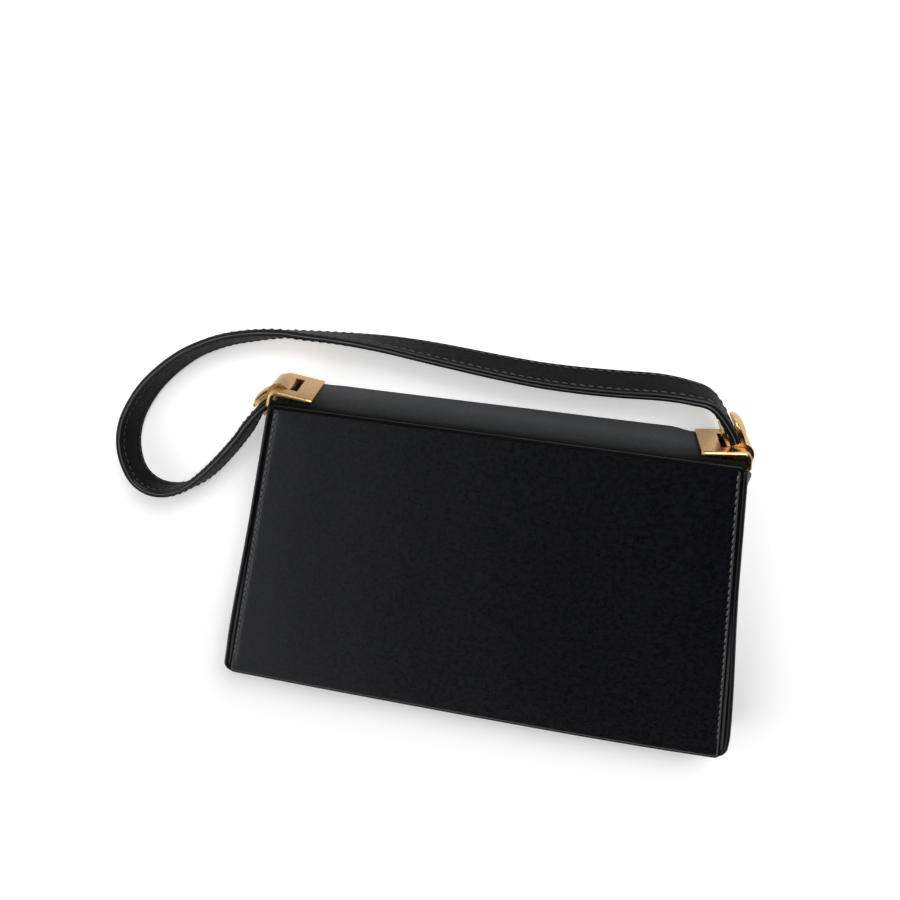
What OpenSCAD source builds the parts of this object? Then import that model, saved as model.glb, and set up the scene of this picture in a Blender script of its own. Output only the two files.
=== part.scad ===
// Small shoulder bag: a wedge-shaped body closed by a full flap, two corner brackets and a short strap.
// It lies on its back panel, as it would on a table: X runs along its width, Y towards its top edge
// and Z out through the flap. The origin is the middle of the back panel's outer face.

/* [Body] */
// Width of the body at its top edge
body_w_top = 200; // [180:1:230]
// Width of the body at its base
body_w_base = 246; // [220:1:270]
// Height of the body from base to top edge
body_h = 153; // [135:1:180]
// Depth of the body at its top edge
depth_top = 34; // [33:0.5:42]
// Depth of the body at its base
depth_base = 20; // [18:0.5:28]
// Height of the mouth between the front panel and the top edge, under the flap
mouth_h = 38; // [25:1:50]
// Radius of the folds between the back, the base and the front
base_fold_r = 5; // [4:0.5:7]
// How far the flap covers the body past its base
flap_overhang = 1; // [0.5:0.5:4]
// How far the flap covers the body at each side
flap_side = 0.5; // [0:0.25:1]
// How far the panels' side edges stand past the gussets
panel_lip = 1.5; // [1.5:0.25:3]
// Drop from the top edge to the top of the gussets
gusset_drop = 12.5; // [12.5:0.5:20]
// Depth of each gusset's inward fold at the base
gusset_fold = 6; // [2:0.5:9]
// How far the right gusset's fold stands outward at its top
gusset_bulge = 6; // [0:0.5:7]

/* [Leather and boards] */
// Thickness of the outer leather
leather_t = 1.4; // [1:0.1:1.8]
// Thickness of the stiffening boards
board_t = 1.0; // [0.6:0.1:1.2]
// Thickness of the lining
lining_t = 0.6; // [0.4:0.1:0.8]
// Distance from a board's edge to the edge of its panel
board_inset = 6; // [4:0.5:10]
// Distance from the top strip's board to the strip's edges
strip_board_inset = 3; // [2:0.5:6]
// Radius of the boards' corners
board_corner_r = 3; // [1:0.5:6]
// Radius of the flap's lower corners
flap_corner_r = 5; // [2:0.5:10]
// Outer radius of the fold between the top strip and the flap
fold_r = 1.8; // [1.6:0.1:2.4]
// Rounding of the top strip's back edge
strip_edge_r = 0.9; // [0.5:0.1:1]

/* [Pocket and magnets] */
// Width of the slip pocket on the back lining
pocket_w = 130; // [90:1:160]
// Height of the slip pocket
pocket_h = 74; // [50:1:90]
// Thickness of the slip pocket
pocket_t = 0.8; // [0.5:0.1:1.2]
// Height of the slip pocket's lower edge above the base
pocket_rise = 24; // [15:1:35]
// Radius of each hidden magnet
magnet_r = 7; // [5:0.5:10]
// Distance between the two magnets of a pair of panels
magnet_span = 110; // [60:1:160]
// Height of the magnets above the flap's lower edge
magnet_rise = 32; // [20:1:60]

/* [Brackets] */
// Length of a bracket's plate along the top edge
bracket_l = 20; // [16:0.5:26]
// Depth of a bracket from back to front
bracket_d = 25; // [24:0.2:26]
// Thickness of the bracket's metal
bracket_t = 2; // [1.5:0.1:2.4]
// Height of a bracket's side leg
bracket_leg_h = 8; // [7:0.25:8.5]
// Distance from the back face to the bracket's back edge
bracket_back = 2; // [1.5:0.1:2.8]
// Outer radius of the bracket's bend
bend_r = 3.8; // [3.7:0.1:4.2]
// Radius of the bar in the bracket's bend, which the link turns on
bar_r = 3.5; // [3:0.1:3.6]
// Distance from the bar's axis to the inner end of the slot in the plate
slot_reach = 7.9; // [7.8:0.1:9]
// Radius of the posts that fix a bracket through the top strip
post_r = 1.5; // [1:0.1:2]
// How far a bracket's outer end is lifted by the strap, in degrees
bracket_lift = 7; // [4:0.5:8]
// Distance between a bracket's two posts
post_span = 12; // [9:0.5:14]
// Radius of the nuts on the posts
nut_r = 3; // [2.5:0.1:3.5]
// Height of the nuts
nut_h = 1.8; // [1.2:0.1:2.4]

/* [Links] */
// Width of a link along the bag's depth
link_w = 14.2; // [12:0.2:15]
// Thickness of a link's ring and legs
link_t = 1.5; // [1.2:0.1:1.8]
// Height of a link's inner leg above the bar's axis
link_leg_h = 12; // [11.5:0.5:14]
// Height of a link's outer tongue above the bar's axis
tongue_h = 16; // [14.5:0.5:20]
// How far the tongue's outer face swells
tongue_swell = 0.9; // [0.4:0.1:1.4]
// Height of the rivet above the bar's axis
rivet_rise = 9; // [8.4:0.1:9.4]
// Radius of the rivet's shank
rivet_r = 1.2; // [0.8:0.1:1.4]
// Radius of the rivet's heads
rivet_head_r = 2.2; // [1.8:0.1:2.4]
// Height of the rivet's heads
rivet_head_h = 0.7; // [0.5:0.1:0.9]
// Lean of the right link towards the middle of the bag, in degrees
lean_right = 31; // [22:1:34]
// Lean of the left link away from the middle of the bag, in degrees
lean_left = 134; // [130:1:136]

/* [Strap] */
// Width of the strap
strap_w = 18; // [15:0.5:20]
// Thickness of the strap's outer leather
strap_leather_t = 1.8; // [1.4:0.1:2]
// Thickness of the strap's backing
strap_backing_t = 1.7; // [1.4:0.1:2]

/* [Hidden] */
$fn = 48;
// Clearance between pieces that move past each other, and the smaller one of a snug fit
gap = 0.3;
snug = 0.1;
// Overrun of every cut past the faces it opens
over = 1;
// Points on each rounded corner of an outline
corner_steps = 6;
// Rings of the strap between two points of its route
strap_steps = 2;

// The three layers of a stiffened panel
panel_t = leather_t + board_t + lining_t;
// The flap's slope, and its length from the top edge down
tilt = atan((depth_top - depth_base) / body_h);
flap_l = norm([body_h, depth_top - depth_base]);
// The fold's reach along the strip and the flap from the corner where they meet
fold_reach = fold_r / tan((90 - tilt) / 2);
// The body's lowest and highest faces, and the offset of its front from the flap's outer face
base_y = flap_overhang - body_h / 2;
top_y = body_h / 2;
front_n = panel_t + gap;
gusset_t = leather_t + lining_t;
gusset_top = top_y - gusset_drop;
// A bracket's outer faces before it is lifted, its plate's inner end and the middle of its depth
bracket_x = body_w_top / 2 + bracket_t;
bracket_y = top_y + bracket_t;
bracket_inner = bracket_x - bracket_l;
// The bar's axis is turned with the bracket about the plate's inner end
bar_flat = [bracket_l - bend_r, bracket_t - bend_r];
bar_x = bracket_inner + bar_flat.x * cos(bracket_lift) - bar_flat.y * sin(bracket_lift);
bar_y = top_y + bar_flat.x * sin(bracket_lift) + bar_flat.y * cos(bracket_lift);
bracket_mid = bracket_back + bracket_d / 2;
window_d = link_w + 2 * gap;
// The bar and the side legs stay clear of the back panel
bar_back = panel_t + gap;
bar_d = 2 * (bracket_mid - bar_back);
strip_end = bar_x - slot_reach - gap;
post_x = bracket_inner + 2 * post_r;
// A link's ring, and the half gap between its legs
ring_in = bar_r + gap;
ring_out = ring_in + link_t;
strap_t = strap_leather_t + strap_backing_t;
clamp_half = strap_t / 2 + gap;
// The strap's end lies just clear of the ring
seat_rise = ring_out + 2 * gap;

// The strap's route from the left link to the right one. Each row holds a place across and up as shares of
// the distance between the links' bars, measured from the left bar, the share of its height at the links
// that the strap still hangs above the surface, and its lean in degrees.
route_shares = [
    [-0.074, -0.090, 0.78, 6], [-0.094, -0.127, 0.66, 9], [-0.141, -0.194, 0.42, 12],
    [-0.189, -0.252, 0.20, 14], [-0.233, -0.291, 0.08, 13], [-0.284, -0.313, 0, 10],
    [-0.333, -0.310, 0, 7], [-0.370, -0.281, 0, 2], [-0.388, -0.229, 0, -5],
    [-0.389, -0.177, 0, -12], [-0.376, -0.126, 0, -16], [-0.349, -0.073, 0, -18],
    [-0.317, -0.029, 0, -19.5], [-0.275, 0.014, 0, -20], [-0.230, 0.050, 0, -20.5],
    [-0.184, 0.076, 0, -21.5], [-0.139, 0.095, 0, -22.5], [-0.094, 0.108, 0, -22.5],
    [-0.050, 0.118, 0, -20.5], [-0.004, 0.125, 0, -17.5], [0.039, 0.127, 0, -14],
    [0.130, 0.130, 0, -9], [0.220, 0.129, 0, -2], [0.310, 0.123, 0, 4.5],
    [0.398, 0.115, 0, 8], [0.485, 0.107, 0, 10], [0.571, 0.102, 0.08, 11.5],
    [0.655, 0.102, 0.18, 12.5], [0.738, 0.106, 0.34, 13], [0.819, 0.108, 0.54, 11.5],
    [0.880, 0.102, 0.75, 8], [0.927, 0.090, 0.90, 3.5]
];

// Half the flap's width at a height on the body
function half_w(y) =
    body_w_base / 2 + (body_w_top - body_w_base) / 2 * (y + body_h / 2) / body_h;

// Height above the back face of the plane that lies n under the flap's outer face
function front_z(y, n) = depth_top - (top_y - y) * tan(tilt) - n / cos(tilt);

function unit(v) = v / norm(v);

// The points that round one corner of an outline
function corner(before, at, after, r) =
    r <= 0 ? [at] :
    let (a = unit(before - at), b = unit(after - at), half = acos(a * b) / 2,
        centre = at + unit(a + b) * r / sin(half),
        from = at + a * r / tan(half) - centre, to = at + b * r / tan(half) - centre,
        start = atan2(from.y, from.x), turn = atan2(to.y, to.x) - start,
        sweep = turn > 180 ? turn - 360 : turn < -180 ? turn + 360 : turn)
    [for (i = [0 : corner_steps])
        centre + r * [cos(start + sweep * i / corner_steps), sin(start + sweep * i / corner_steps)]];

function rounded(points, radii) =
    let (n = len(points))
    [for (i = [0 : n - 1]) each corner(points[(i + n - 1) % n], points[i], points[(i + 1) % n], radii[i])];

// Draws its children, outlines across the depth, along the bag's width
module across(length) {
    rotate([90, 0, 90]) linear_extrude(length, center = true) children();
}

// The frame of the flap: its top edge is the origin, and it lies along -Y with its outer face on z = 0
module on_flap() {
    translate([0, top_y, depth_top]) rotate([tilt, 0, 0]) children();
}

// Outline of the body between two heights, drawn in from its side edges by inset
module body_outline(low, high, inset, r) {
    polygon(rounded([[half_w(low) - inset, low], [half_w(high) - inset, high],
        [inset - half_w(high), high], [inset - half_w(low), low]], [r, r, r, r]));
}

// Outline of the flap between two distances from its top edge, drawn in by inset
module flap_outline(near, far, inset, top_r, low_r) {
    half_near = half_w(top_y - near * cos(tilt)) - inset;
    half_far = half_w(top_y - far * cos(tilt)) - inset;
    polygon(rounded([[half_far, -far], [half_near, -near], [-half_near, -near], [-half_far, -far]],
        [low_r, top_r, top_r, low_r]));
}

// The wall of the body, from its back round the base to its front, between two depths in from its outer face
module wall(n0, n1) {
    mouth = [for (n = [n0, n1]) [
        top_y - mouth_h * cos(tilt) + (front_n + n) * sin(tilt),
        depth_top - mouth_h * sin(tilt) - (front_n + n) * cos(tilt)]];
    across(body_w_base) polygon(rounded(
        [[top_y - panel_t, n0], [base_y + n0, n0], [base_y + n0, front_z(base_y + n0, front_n + n0)],
            mouth[0], mouth[1],
            [base_y + n1, front_z(base_y + n1, front_n + n1)], [base_y + n1, n1], [top_y - panel_t, n1]],
        [0, base_fold_r - n0, base_fold_r - n0, 0, 0, base_fold_r - n1, base_fold_r - n1, 0]));
}

// Everything between the body's side edges
module between_sides(inset) {
    linear_extrude(depth_top) body_outline(-body_h / 2, top_y, inset, 0);
}

// The two magnets' places on the flap's frame, as cylinders from one depth under its outer face to another
module at_magnets(n0, n1, r) {
    for (side = [-1, 1])
        translate([side * magnet_span / 2, magnet_rise - flap_l, -n1]) cylinder(h = n1 - n0, r = r);
}

module back_board_solid(grow) {
    translate([0, 0, leather_t]) linear_extrude(board_t)
        body_outline(base_y + base_fold_r - grow, top_y - panel_t - board_inset + grow,
            flap_side + board_inset - grow, board_corner_r);
}

module front_board_solid(grow) {
    on_flap() translate([0, 0, -front_n - leather_t - board_t]) linear_extrude(board_t)
        flap_outline(mouth_h + board_inset - grow, flap_l - flap_overhang - base_fold_r - board_t + grow,
            flap_side + board_inset - grow, board_corner_r, board_corner_r);
}

module base_board_solid(grow) {
    low = base_fold_r - grow;
    high = front_z(base_y, front_n) - base_fold_r + grow;
    half = half_w(base_y) - flap_side - board_inset + grow;
    translate([-half, base_y + leather_t, low]) cube([2 * half, board_t, high - low]);
}

module flap_board_solid(grow) {
    on_flap() translate([0, 0, -leather_t - board_t]) linear_extrude(board_t)
        flap_outline(board_inset - grow, flap_l - board_inset + grow, board_inset - grow,
            board_corner_r, board_corner_r);
}

module strip_board_solid(grow) {
    half = strip_end - strip_board_inset + grow;
    back = strip_board_inset - grow;
    translate([-half, top_y - leather_t - board_t, back])
        cube([2 * half, board_t, depth_top - panel_t - 2 * gap - 2 * back]);
}

// The strip's corners are cut out where the brackets' bars and links lie
module bar_pockets() {
    for (side = [-1, 1])
        translate([side > 0 ? strip_end : -strip_end - body_w_top, top_y - panel_t - over,
            bracket_back - gap])
            cube([body_w_top, panel_t + 2 * over, bracket_d + 2 * gap]);
}

// Holes for the brackets' posts through the top strip
module post_holes() {
    at_posts() translate([0, 0, -over]) cylinder(h = panel_t + 2 * over, r = post_r + snug);
}

// The places of the four posts: each starts at the top strip's outer face and runs down into the bag
module at_posts() {
    for (side = [-1, 1], end = [-1, 1])
        translate([side * post_x, top_y, bracket_mid + end * post_span / 2])
            rotate([90, 0, 0]) children();
}

module body_leather() {
    color([0.05, 0.05, 0.06]) intersection() {
        wall(0, leather_t);
        between_sides(flap_side);
    }
}

module body_lining() {
    color([0.12, 0.12, 0.13]) difference() {
        intersection() {
            wall(leather_t, panel_t);
            between_sides(flap_side);
        }
        back_board_solid(snug);
        front_board_solid(snug);
        base_board_solid(snug);
    }
}

module back_board() {
    color([0.5, 0.42, 0.32]) back_board_solid(0);
}

module front_board() {
    color([0.5, 0.42, 0.32]) difference() {
        front_board_solid(0);
        on_flap() at_magnets(front_n + leather_t - over, front_n + leather_t + board_t + over,
            magnet_r + snug);
    }
}

module base_board() {
    color([0.5, 0.42, 0.32]) base_board_solid(0);
}

module body_magnets() {
    color([0.6, 0.6, 0.62]) on_flap()
        at_magnets(front_n + leather_t, front_n + leather_t + board_t, magnet_r);
}

module slip_pocket() {
    half = pocket_w / 2;
    low = base_y + pocket_rise;
    color([0.14, 0.14, 0.15]) translate([0, 0, panel_t]) linear_extrude(pocket_t)
        polygon(rounded([[half, low], [half, low + pocket_h], [-half, low + pocket_h], [-half, low]],
            [board_corner_r, 0, 0, board_corner_r]));
}

// One gusset closes the body's right side. It is folded along its middle, inward at the base and less and
// less towards its top, where the fold may stand outward by bulge.
module gusset(bulge) {
    low = base_y + panel_t;
    back = panel_t;
    mid_y = gusset_top - body_h / 6;
    function side_x(y) = half_w(y) - flap_side - panel_lip;
    function front(y) = front_z(y, front_n + panel_t);
    function section(y, fold) = [
        [side_x(y), y, back], [side_x(y) - fold, y, (back + front(y)) / 2], [side_x(y), y, front(y)],
        [side_x(y) - gusset_t, y, front(y)], [side_x(y) - fold - gusset_t, y, (back + front(y)) / 2],
        [side_x(y) - gusset_t, y, back]];
    n = 6;
    top = 2 * n;
    intersection() {
        polyhedron(concat(section(low, gusset_fold), section(mid_y, -bulge / 6), section(gusset_top, -bulge)),
            concat(
                [[0, 4, 1], [0, 5, 4], [1, 3, 2], [1, 4, 3]],
                [[top, top + 1, top + 4], [top, top + 4, top + 5],
                    [top + 1, top + 2, top + 3], [top + 1, top + 3, top + 4]],
                [for (k = [0, n], i = [0 : n - 1]) let (a = k + i, b = k + (i + 1) % n)
                    each [[a, b, a + n], [b, b + n, a + n]]]));
        across(body_w_base + 2 * over) polygon(rounded(
            [[top_y, panel_t], [low, panel_t], [low, front_z(low, front_n + panel_t)],
                [top_y, front_z(top_y, front_n + panel_t)]],
            [0, base_fold_r - panel_t, base_fold_r - panel_t, 0]));
    }
}

module gusset_right() {
    color([0.06, 0.06, 0.07]) gusset(gusset_bulge);
}

module gusset_left() {
    color([0.06, 0.06, 0.07]) mirror([1, 0, 0]) gusset(0);
}

module strip_leather() {
    front = depth_top - fold_reach;
    color([0.09, 0.09, 0.10]) difference() {
        across(body_w_top - 2 * flap_side) polygon(rounded(
            [[top_y - leather_t, 0], [top_y, 0], [top_y, front], [top_y - leather_t, front]],
            [0, strip_edge_r, 0, 0]));
        bar_pockets();
        post_holes();
    }
}

module strip_lining() {
    front = depth_top - panel_t - 2 * gap;
    half = body_w_top / 2 - flap_side;
    color([0.12, 0.12, 0.13]) difference() {
        translate([-half, top_y - panel_t, 0]) cube([2 * half, board_t + lining_t, front]);
        strip_board_solid(snug);
        bar_pockets();
        post_holes();
    }
}

module strip_board() {
    color([0.5, 0.42, 0.32]) difference() {
        strip_board_solid(0);
        post_holes();
    }
}

// The leather that turns from the top strip into the flap
module flap_fold() {
    centre = [top_y - fold_r, front_z(top_y - fold_r, fold_r)];
    steps = 2 * corner_steps;
    inner = fold_r - leather_t;
    color([0.07, 0.07, 0.08]) across(body_w_top - 2 * flap_side) polygon(concat(
        [for (i = [0 : steps]) centre + fold_r * [cos(i / steps * (90 + tilt)), sin(i / steps * (90 + tilt))]],
        [for (i = [steps : -1 : 0]) centre + inner * [cos(i / steps * (90 + tilt)), sin(i / steps * (90 + tilt))]]));
}

module flap_leather() {
    color([0.04, 0.04, 0.05]) on_flap() translate([0, 0, -leather_t]) linear_extrude(leather_t)
        flap_outline(fold_reach + snug, flap_l, 0, leather_t, flap_corner_r);
}

module flap_lining() {
    color([0.12, 0.12, 0.13]) difference() {
        on_flap() translate([0, 0, -panel_t]) linear_extrude(board_t + lining_t)
            flap_outline(fold_reach + gap, flap_l, 0, leather_t, flap_corner_r);
        flap_board_solid(snug);
    }
}

module flap_board() {
    color([0.5, 0.42, 0.32]) difference() {
        flap_board_solid(0);
        on_flap() at_magnets(leather_t - over, leather_t + board_t + over, magnet_r + snug);
    }
}

module flap_magnets() {
    color([0.6, 0.6, 0.62]) on_flap() at_magnets(leather_t, leather_t + board_t, magnet_r);
}

// One bracket's metal before it is lifted: a plate, a corner rolled round the bar, and two side legs
module bracket_flat() {
    flat_bar = [bracket_inner + bar_flat.x, top_y + bar_flat.y];
    low_y = bracket_y - bracket_leg_h;
    difference() {
        translate([0, 0, bracket_back]) linear_extrude(bracket_d) polygon(rounded(
            [[bracket_inner, bracket_y], [bracket_x, bracket_y], [bracket_x, low_y],
                [bracket_x - bracket_t, low_y], [bracket_x - bracket_t, bracket_y - bracket_t],
                [bracket_inner, bracket_y - bracket_t]],
            [bracket_t / 4, bend_r, 0, 0, bend_r - bracket_t, 0]));
        translate([flat_bar.x - slot_reach, low_y - over, bracket_mid - window_d / 2])
            cube([slot_reach + bend_r + over, bracket_leg_h + 2 * over, window_d]);
        translate([body_w_top / 2 - over, low_y - over, bracket_back - over])
            cube([bracket_t + 2 * over, flat_bar.y - low_y + over, bar_back - bracket_back + over]);
    }
    translate([flat_bar.x, flat_bar.y, bar_back]) cylinder(h = bar_d, r = bar_r);
}

// The bracket as it stands, with two posts straight down through the top strip
module bracket() {
    post_l = panel_t + nut_h + gap;
    translate([bracket_inner, top_y, 0]) rotate([0, 0, bracket_lift])
        translate([-bracket_inner, -top_y, 0]) bracket_flat();
    for (end = [-1, 1])
        translate([post_x, top_y + bracket_t / 2, bracket_mid + end * post_span / 2])
            rotate([90, 0, 0]) cylinder(h = post_l + bracket_t / 2, r = post_r);
}

module bracket_right() {
    color([0.78, 0.60, 0.34]) bracket();
}

module bracket_left() {
    color([0.78, 0.60, 0.34]) mirror([1, 0, 0]) bracket();
}

module bracket_nuts() {
    color([0.72, 0.56, 0.33]) at_posts() translate([0, 0, panel_t]) difference() {
        cylinder(h = nut_h, r = nut_r);
        translate([0, 0, -over]) cylinder(h = nut_h + 2 * over, r = post_r + snug / 2);
    }
}

// The strap's rivet stands across the link's legs
module across_legs(from, length, r) {
    translate([from, rivet_rise, 0]) rotate([0, 90, 0]) cylinder(h = length, r = r);
}

// One link about its bar's axis: +Y runs up the strap and +X is the side of its tongue
module link() {
    leg_foot = ring_in * cos(asin(clamp_half / ring_in)) + snug;
    tip_r = link_w / 2;
    tongue_out = clamp_half + link_t;
    difference() {
        union() {
            translate([0, 0, -link_w / 2]) difference() {
                cylinder(h = link_w, r = ring_out);
                translate([0, 0, -over]) cylinder(h = link_w + 2 * over, r = ring_in);
            }
            translate([-tongue_out, leg_foot, -link_w / 2]) cube([link_t, link_leg_h - leg_foot, link_w]);
            intersection() {
                translate([0, 0, -link_w / 2]) linear_extrude(link_w) polygon(concat(
                    [[clamp_half, tongue_h], [clamp_half, leg_foot]],
                    [for (i = [0 : corner_steps]) let (share = i / corner_steps)
                        [tongue_out + tongue_swell * sin(180 * share) - link_t / 2 * share,
                            leg_foot + (tongue_h - leg_foot) * share]]));
                union() {
                    translate([0, tongue_h - tip_r, 0]) rotate([0, 90, 0])
                        cylinder(h = 2 * ring_out, r = tip_r);
                    translate([0, 0, -tip_r]) cube([2 * ring_out, tongue_h - tip_r, 2 * tip_r]);
                }
            }
        }
        across_legs(-ring_out, 2 * ring_out + tongue_swell, rivet_r + snug / 2);
    }
}

// A rivet's shank and its two heads
module rivet() {
    inner = clamp_half + link_t;
    outer = inner + tongue_swell;
    across_legs(-inner - rivet_head_h / 2, inner + outer + rivet_head_h, rivet_r);
    across_legs(-inner - rivet_head_h, rivet_head_h, rivet_head_r);
    across_legs(outer, rivet_head_h, rivet_head_r);
}

module at_right_link() {
    translate([bar_x, bar_y, bracket_mid]) rotate([0, 0, lean_right]) children();
}

module at_left_link() {
    translate([-bar_x, bar_y, bracket_mid]) rotate([0, 0, lean_left]) children();
}

module link_right() {
    color([0.80, 0.62, 0.35]) at_right_link() link();
}

module link_left() {
    color([0.80, 0.62, 0.35]) at_left_link() link();
}

module rivet_right() {
    color([0.75, 0.58, 0.32]) at_right_link() rivet();
}

module rivet_left() {
    color([0.75, 0.58, 0.32]) at_left_link() rivet();
}

// The strap's route as places [x, y, height of the lower edge, lean], with its ends in the links' legs
span = 2 * bar_x;
seat_low = bracket_mid - strap_w / 2;
dir_left = [-sin(lean_left), cos(lean_left)];
dir_right = [-sin(lean_right), cos(lean_right)];
function link_place(x, dir, rise) = [x + rise * dir.x, bar_y + rise * dir.y, seat_low, 0];
route = concat(
    [link_place(-bar_x, dir_left, seat_rise), link_place(-bar_x, dir_left, link_leg_h)],
    [for (s = route_shares) [span * s[0] - bar_x, bar_y + span * s[1], seat_low * s[2], s[3]]],
    [link_place(bar_x, dir_right, link_leg_h), link_place(bar_x, dir_right, seat_rise)]);

// A smooth curve through the route's places
function between(i, t) =
    let (n = len(route) - 1, p0 = route[max(i - 1, 0)], p1 = route[i], p2 = route[i + 1],
        p3 = route[min(i + 2, n)])
    (2 * p1 + (p2 - p0) * t + (2 * p0 - 5 * p1 + 4 * p2 - p3) * t * t
        + (3 * p1 - p0 - 3 * p2 + p3) * t * t * t) / 2;

path = concat(
    [for (i = [0 : len(route) - 2], k = [0 : strap_steps - 1]) between(i, k / strap_steps)],
    [route[len(route) - 1]]);

// The strap's direction in plan at a place on its path, held straight in the legs
function heading(i) =
    let (n = len(path) - 1)
    i <= strap_steps / 2 ? dir_left : i >= n - strap_steps / 2 ? -dir_right :
    unit([path[i + 1].x - path[i - 1].x, path[i + 1].y - path[i - 1].y]);

// One ring of the strap between two distances out from its middle, as its four corners
function ring(i, from, to) =
    let (p = path[i], h = heading(i), lean = p[3], inward = [h.y, -h.x, 0],
        wide = inward * sin(lean) + [0, 0, cos(lean)],
        out = [0, 0, sin(lean)] - inward * cos(lean),
        rise = p[2] + strap_w / 2 * cos(lean) + strap_t / 2 * abs(sin(lean)),
        mid = [p.x, p.y, rise])
    [mid - wide * strap_w / 2 + out * from, mid + wide * strap_w / 2 + out * from,
        mid + wide * strap_w / 2 + out * to, mid - wide * strap_w / 2 + out * to];

module strap_layer(from, to) {
    n = len(path);
    points = [for (i = [0 : n - 1]) each ring(i, from, to)];
    last = 4 * (n - 1);
    difference() {
        polyhedron(points, concat(
            [[0, 2, 1], [0, 3, 2], [last, last + 1, last + 2], [last, last + 2, last + 3]],
            [for (i = [0 : n - 2], k = [0 : 3]) let (a = 4 * i + k, b = 4 * i + (k + 1) % 4)
                each k == 2 ? [[a, b, a + 4], [b, b + 4, a + 4]] : [[a, b, b + 4], [a, b + 4, a + 4]]]));
        at_left_link() across_legs(-ring_out, 2 * ring_out, rivet_r + gap);
        at_right_link() across_legs(-ring_out, 2 * ring_out, rivet_r + gap);
    }
}

module strap_leather() {
    color([0.13, 0.13, 0.14]) strap_layer(strap_backing_t - strap_t / 2, strap_t / 2);
}

module strap_backing() {
    color([0.10, 0.10, 0.11]) strap_layer(-strap_t / 2, strap_backing_t - strap_t / 2);
}

body_leather();
body_lining();
back_board();
front_board();
base_board();
body_magnets();
slip_pocket();
gusset_left();
gusset_right();
strip_leather();
strip_board();
strip_lining();
bracket_left();
bracket_right();
bracket_nuts();
flap_fold();
flap_leather();
flap_board();
flap_lining();
flap_magnets();
link_left();
link_right();
rivet_left();
rivet_right();
strap_leather();
strap_backing();
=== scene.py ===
import math
import random

import bmesh
import bpy
from mathutils import Matrix, Vector, noise


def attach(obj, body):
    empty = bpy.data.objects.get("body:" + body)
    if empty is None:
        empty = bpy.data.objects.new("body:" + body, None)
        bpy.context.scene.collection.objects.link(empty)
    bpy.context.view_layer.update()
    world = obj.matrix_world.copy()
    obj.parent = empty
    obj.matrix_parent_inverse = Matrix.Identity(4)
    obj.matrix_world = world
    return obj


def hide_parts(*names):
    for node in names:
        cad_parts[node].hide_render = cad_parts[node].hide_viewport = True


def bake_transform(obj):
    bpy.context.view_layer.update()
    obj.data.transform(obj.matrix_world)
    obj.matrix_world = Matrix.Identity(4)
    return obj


bl_info = {
    "name": "Flap Shoulder Bag",
    "version": (1, 0, 0),
    "blender": (4, 5, 0),
    "location": "View3D > Sidebar > Bag",
    "description": "Builds the leather, lining, stitching and metal of a small flap shoulder bag",
    "category": "Add Mesh",
}

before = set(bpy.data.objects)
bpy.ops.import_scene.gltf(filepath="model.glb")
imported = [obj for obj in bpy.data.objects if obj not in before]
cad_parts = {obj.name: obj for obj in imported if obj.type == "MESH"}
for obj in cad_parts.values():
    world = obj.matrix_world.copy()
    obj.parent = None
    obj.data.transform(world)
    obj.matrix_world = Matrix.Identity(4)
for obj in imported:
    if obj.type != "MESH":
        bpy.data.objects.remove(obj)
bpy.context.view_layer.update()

MM = 0.001
SIDES = {-1: "left", 1: "right"}
# The bag's sizes in millimetres, as its solids have them: half widths, y and depths at the top and the base,
# where the body ends 1 mm inside the flap
TOP_HALF, BASE_HALF, HEIGHT = 100.0, 123.0, 153.0
TOP_Y = HEIGHT / 2
BASE_Y = 1.0 - HEIGHT / 2
TOP_DEPTH, BASE_DEPTH = 34.0, 20.0
TILT = math.atan((TOP_DEPTH - BASE_DEPTH) / HEIGHT)
TILT_SIN, TILT_COS = math.sin(TILT), math.cos(TILT)
FLAP_LENGTH = math.hypot(HEIGHT, TOP_DEPTH - BASE_DEPTH)
# Thickness of leather and of a whole panel, and the gap between parts that move past each other
LEATHER, PANEL, GAP = 1.4, 3.0, 0.3
# How far the body's sides stand back from the flap's, and its front from the flap's face
SIDE_STEP, FRONT_DEPTH = 0.5, PANEL + GAP
# Length of the opening between front panel and top edge
MOUTH = 38.0
# Outer radius of the wall's folds at the base and of the fold into the flap, and how far that one reaches
BASE_FOLD, FOLD_RADIUS = 5.0, 1.8
FOLD_REACH = FOLD_RADIUS / math.tan((math.pi / 2 - TILT) / 2)
# The brackets' bars, lifted with the brackets by the strap, and the brackets' inner ends
BAR = Vector((98.2986, 76.6877, 14.5))
BRACKET_INNER, BRACKET_LIFT = 82.0, math.radians(7)
# The ways in which the links point from their bars, and the strap that they clasp
LEANS = {-1: math.radians(134), 1: math.radians(31)}
STRAP_WIDTH, STRAP_OUTER, STRAP_INNER = 18.0, 1.8, 1.7
STRAP_THICK = STRAP_OUTER + STRAP_INNER
# Distances from the bar at which the strap begins and at which it leaves the link
SEAT_RISE, LEG_RISE = 5.9, 12.0
# The top strip's cut-outs for the links
LINK_HALF = 7.9
STRIP_END = BAR.x - LINK_HALF - GAP
POCKET_LOW, POCKET_HIGH = 1.7, 27.3

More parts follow.
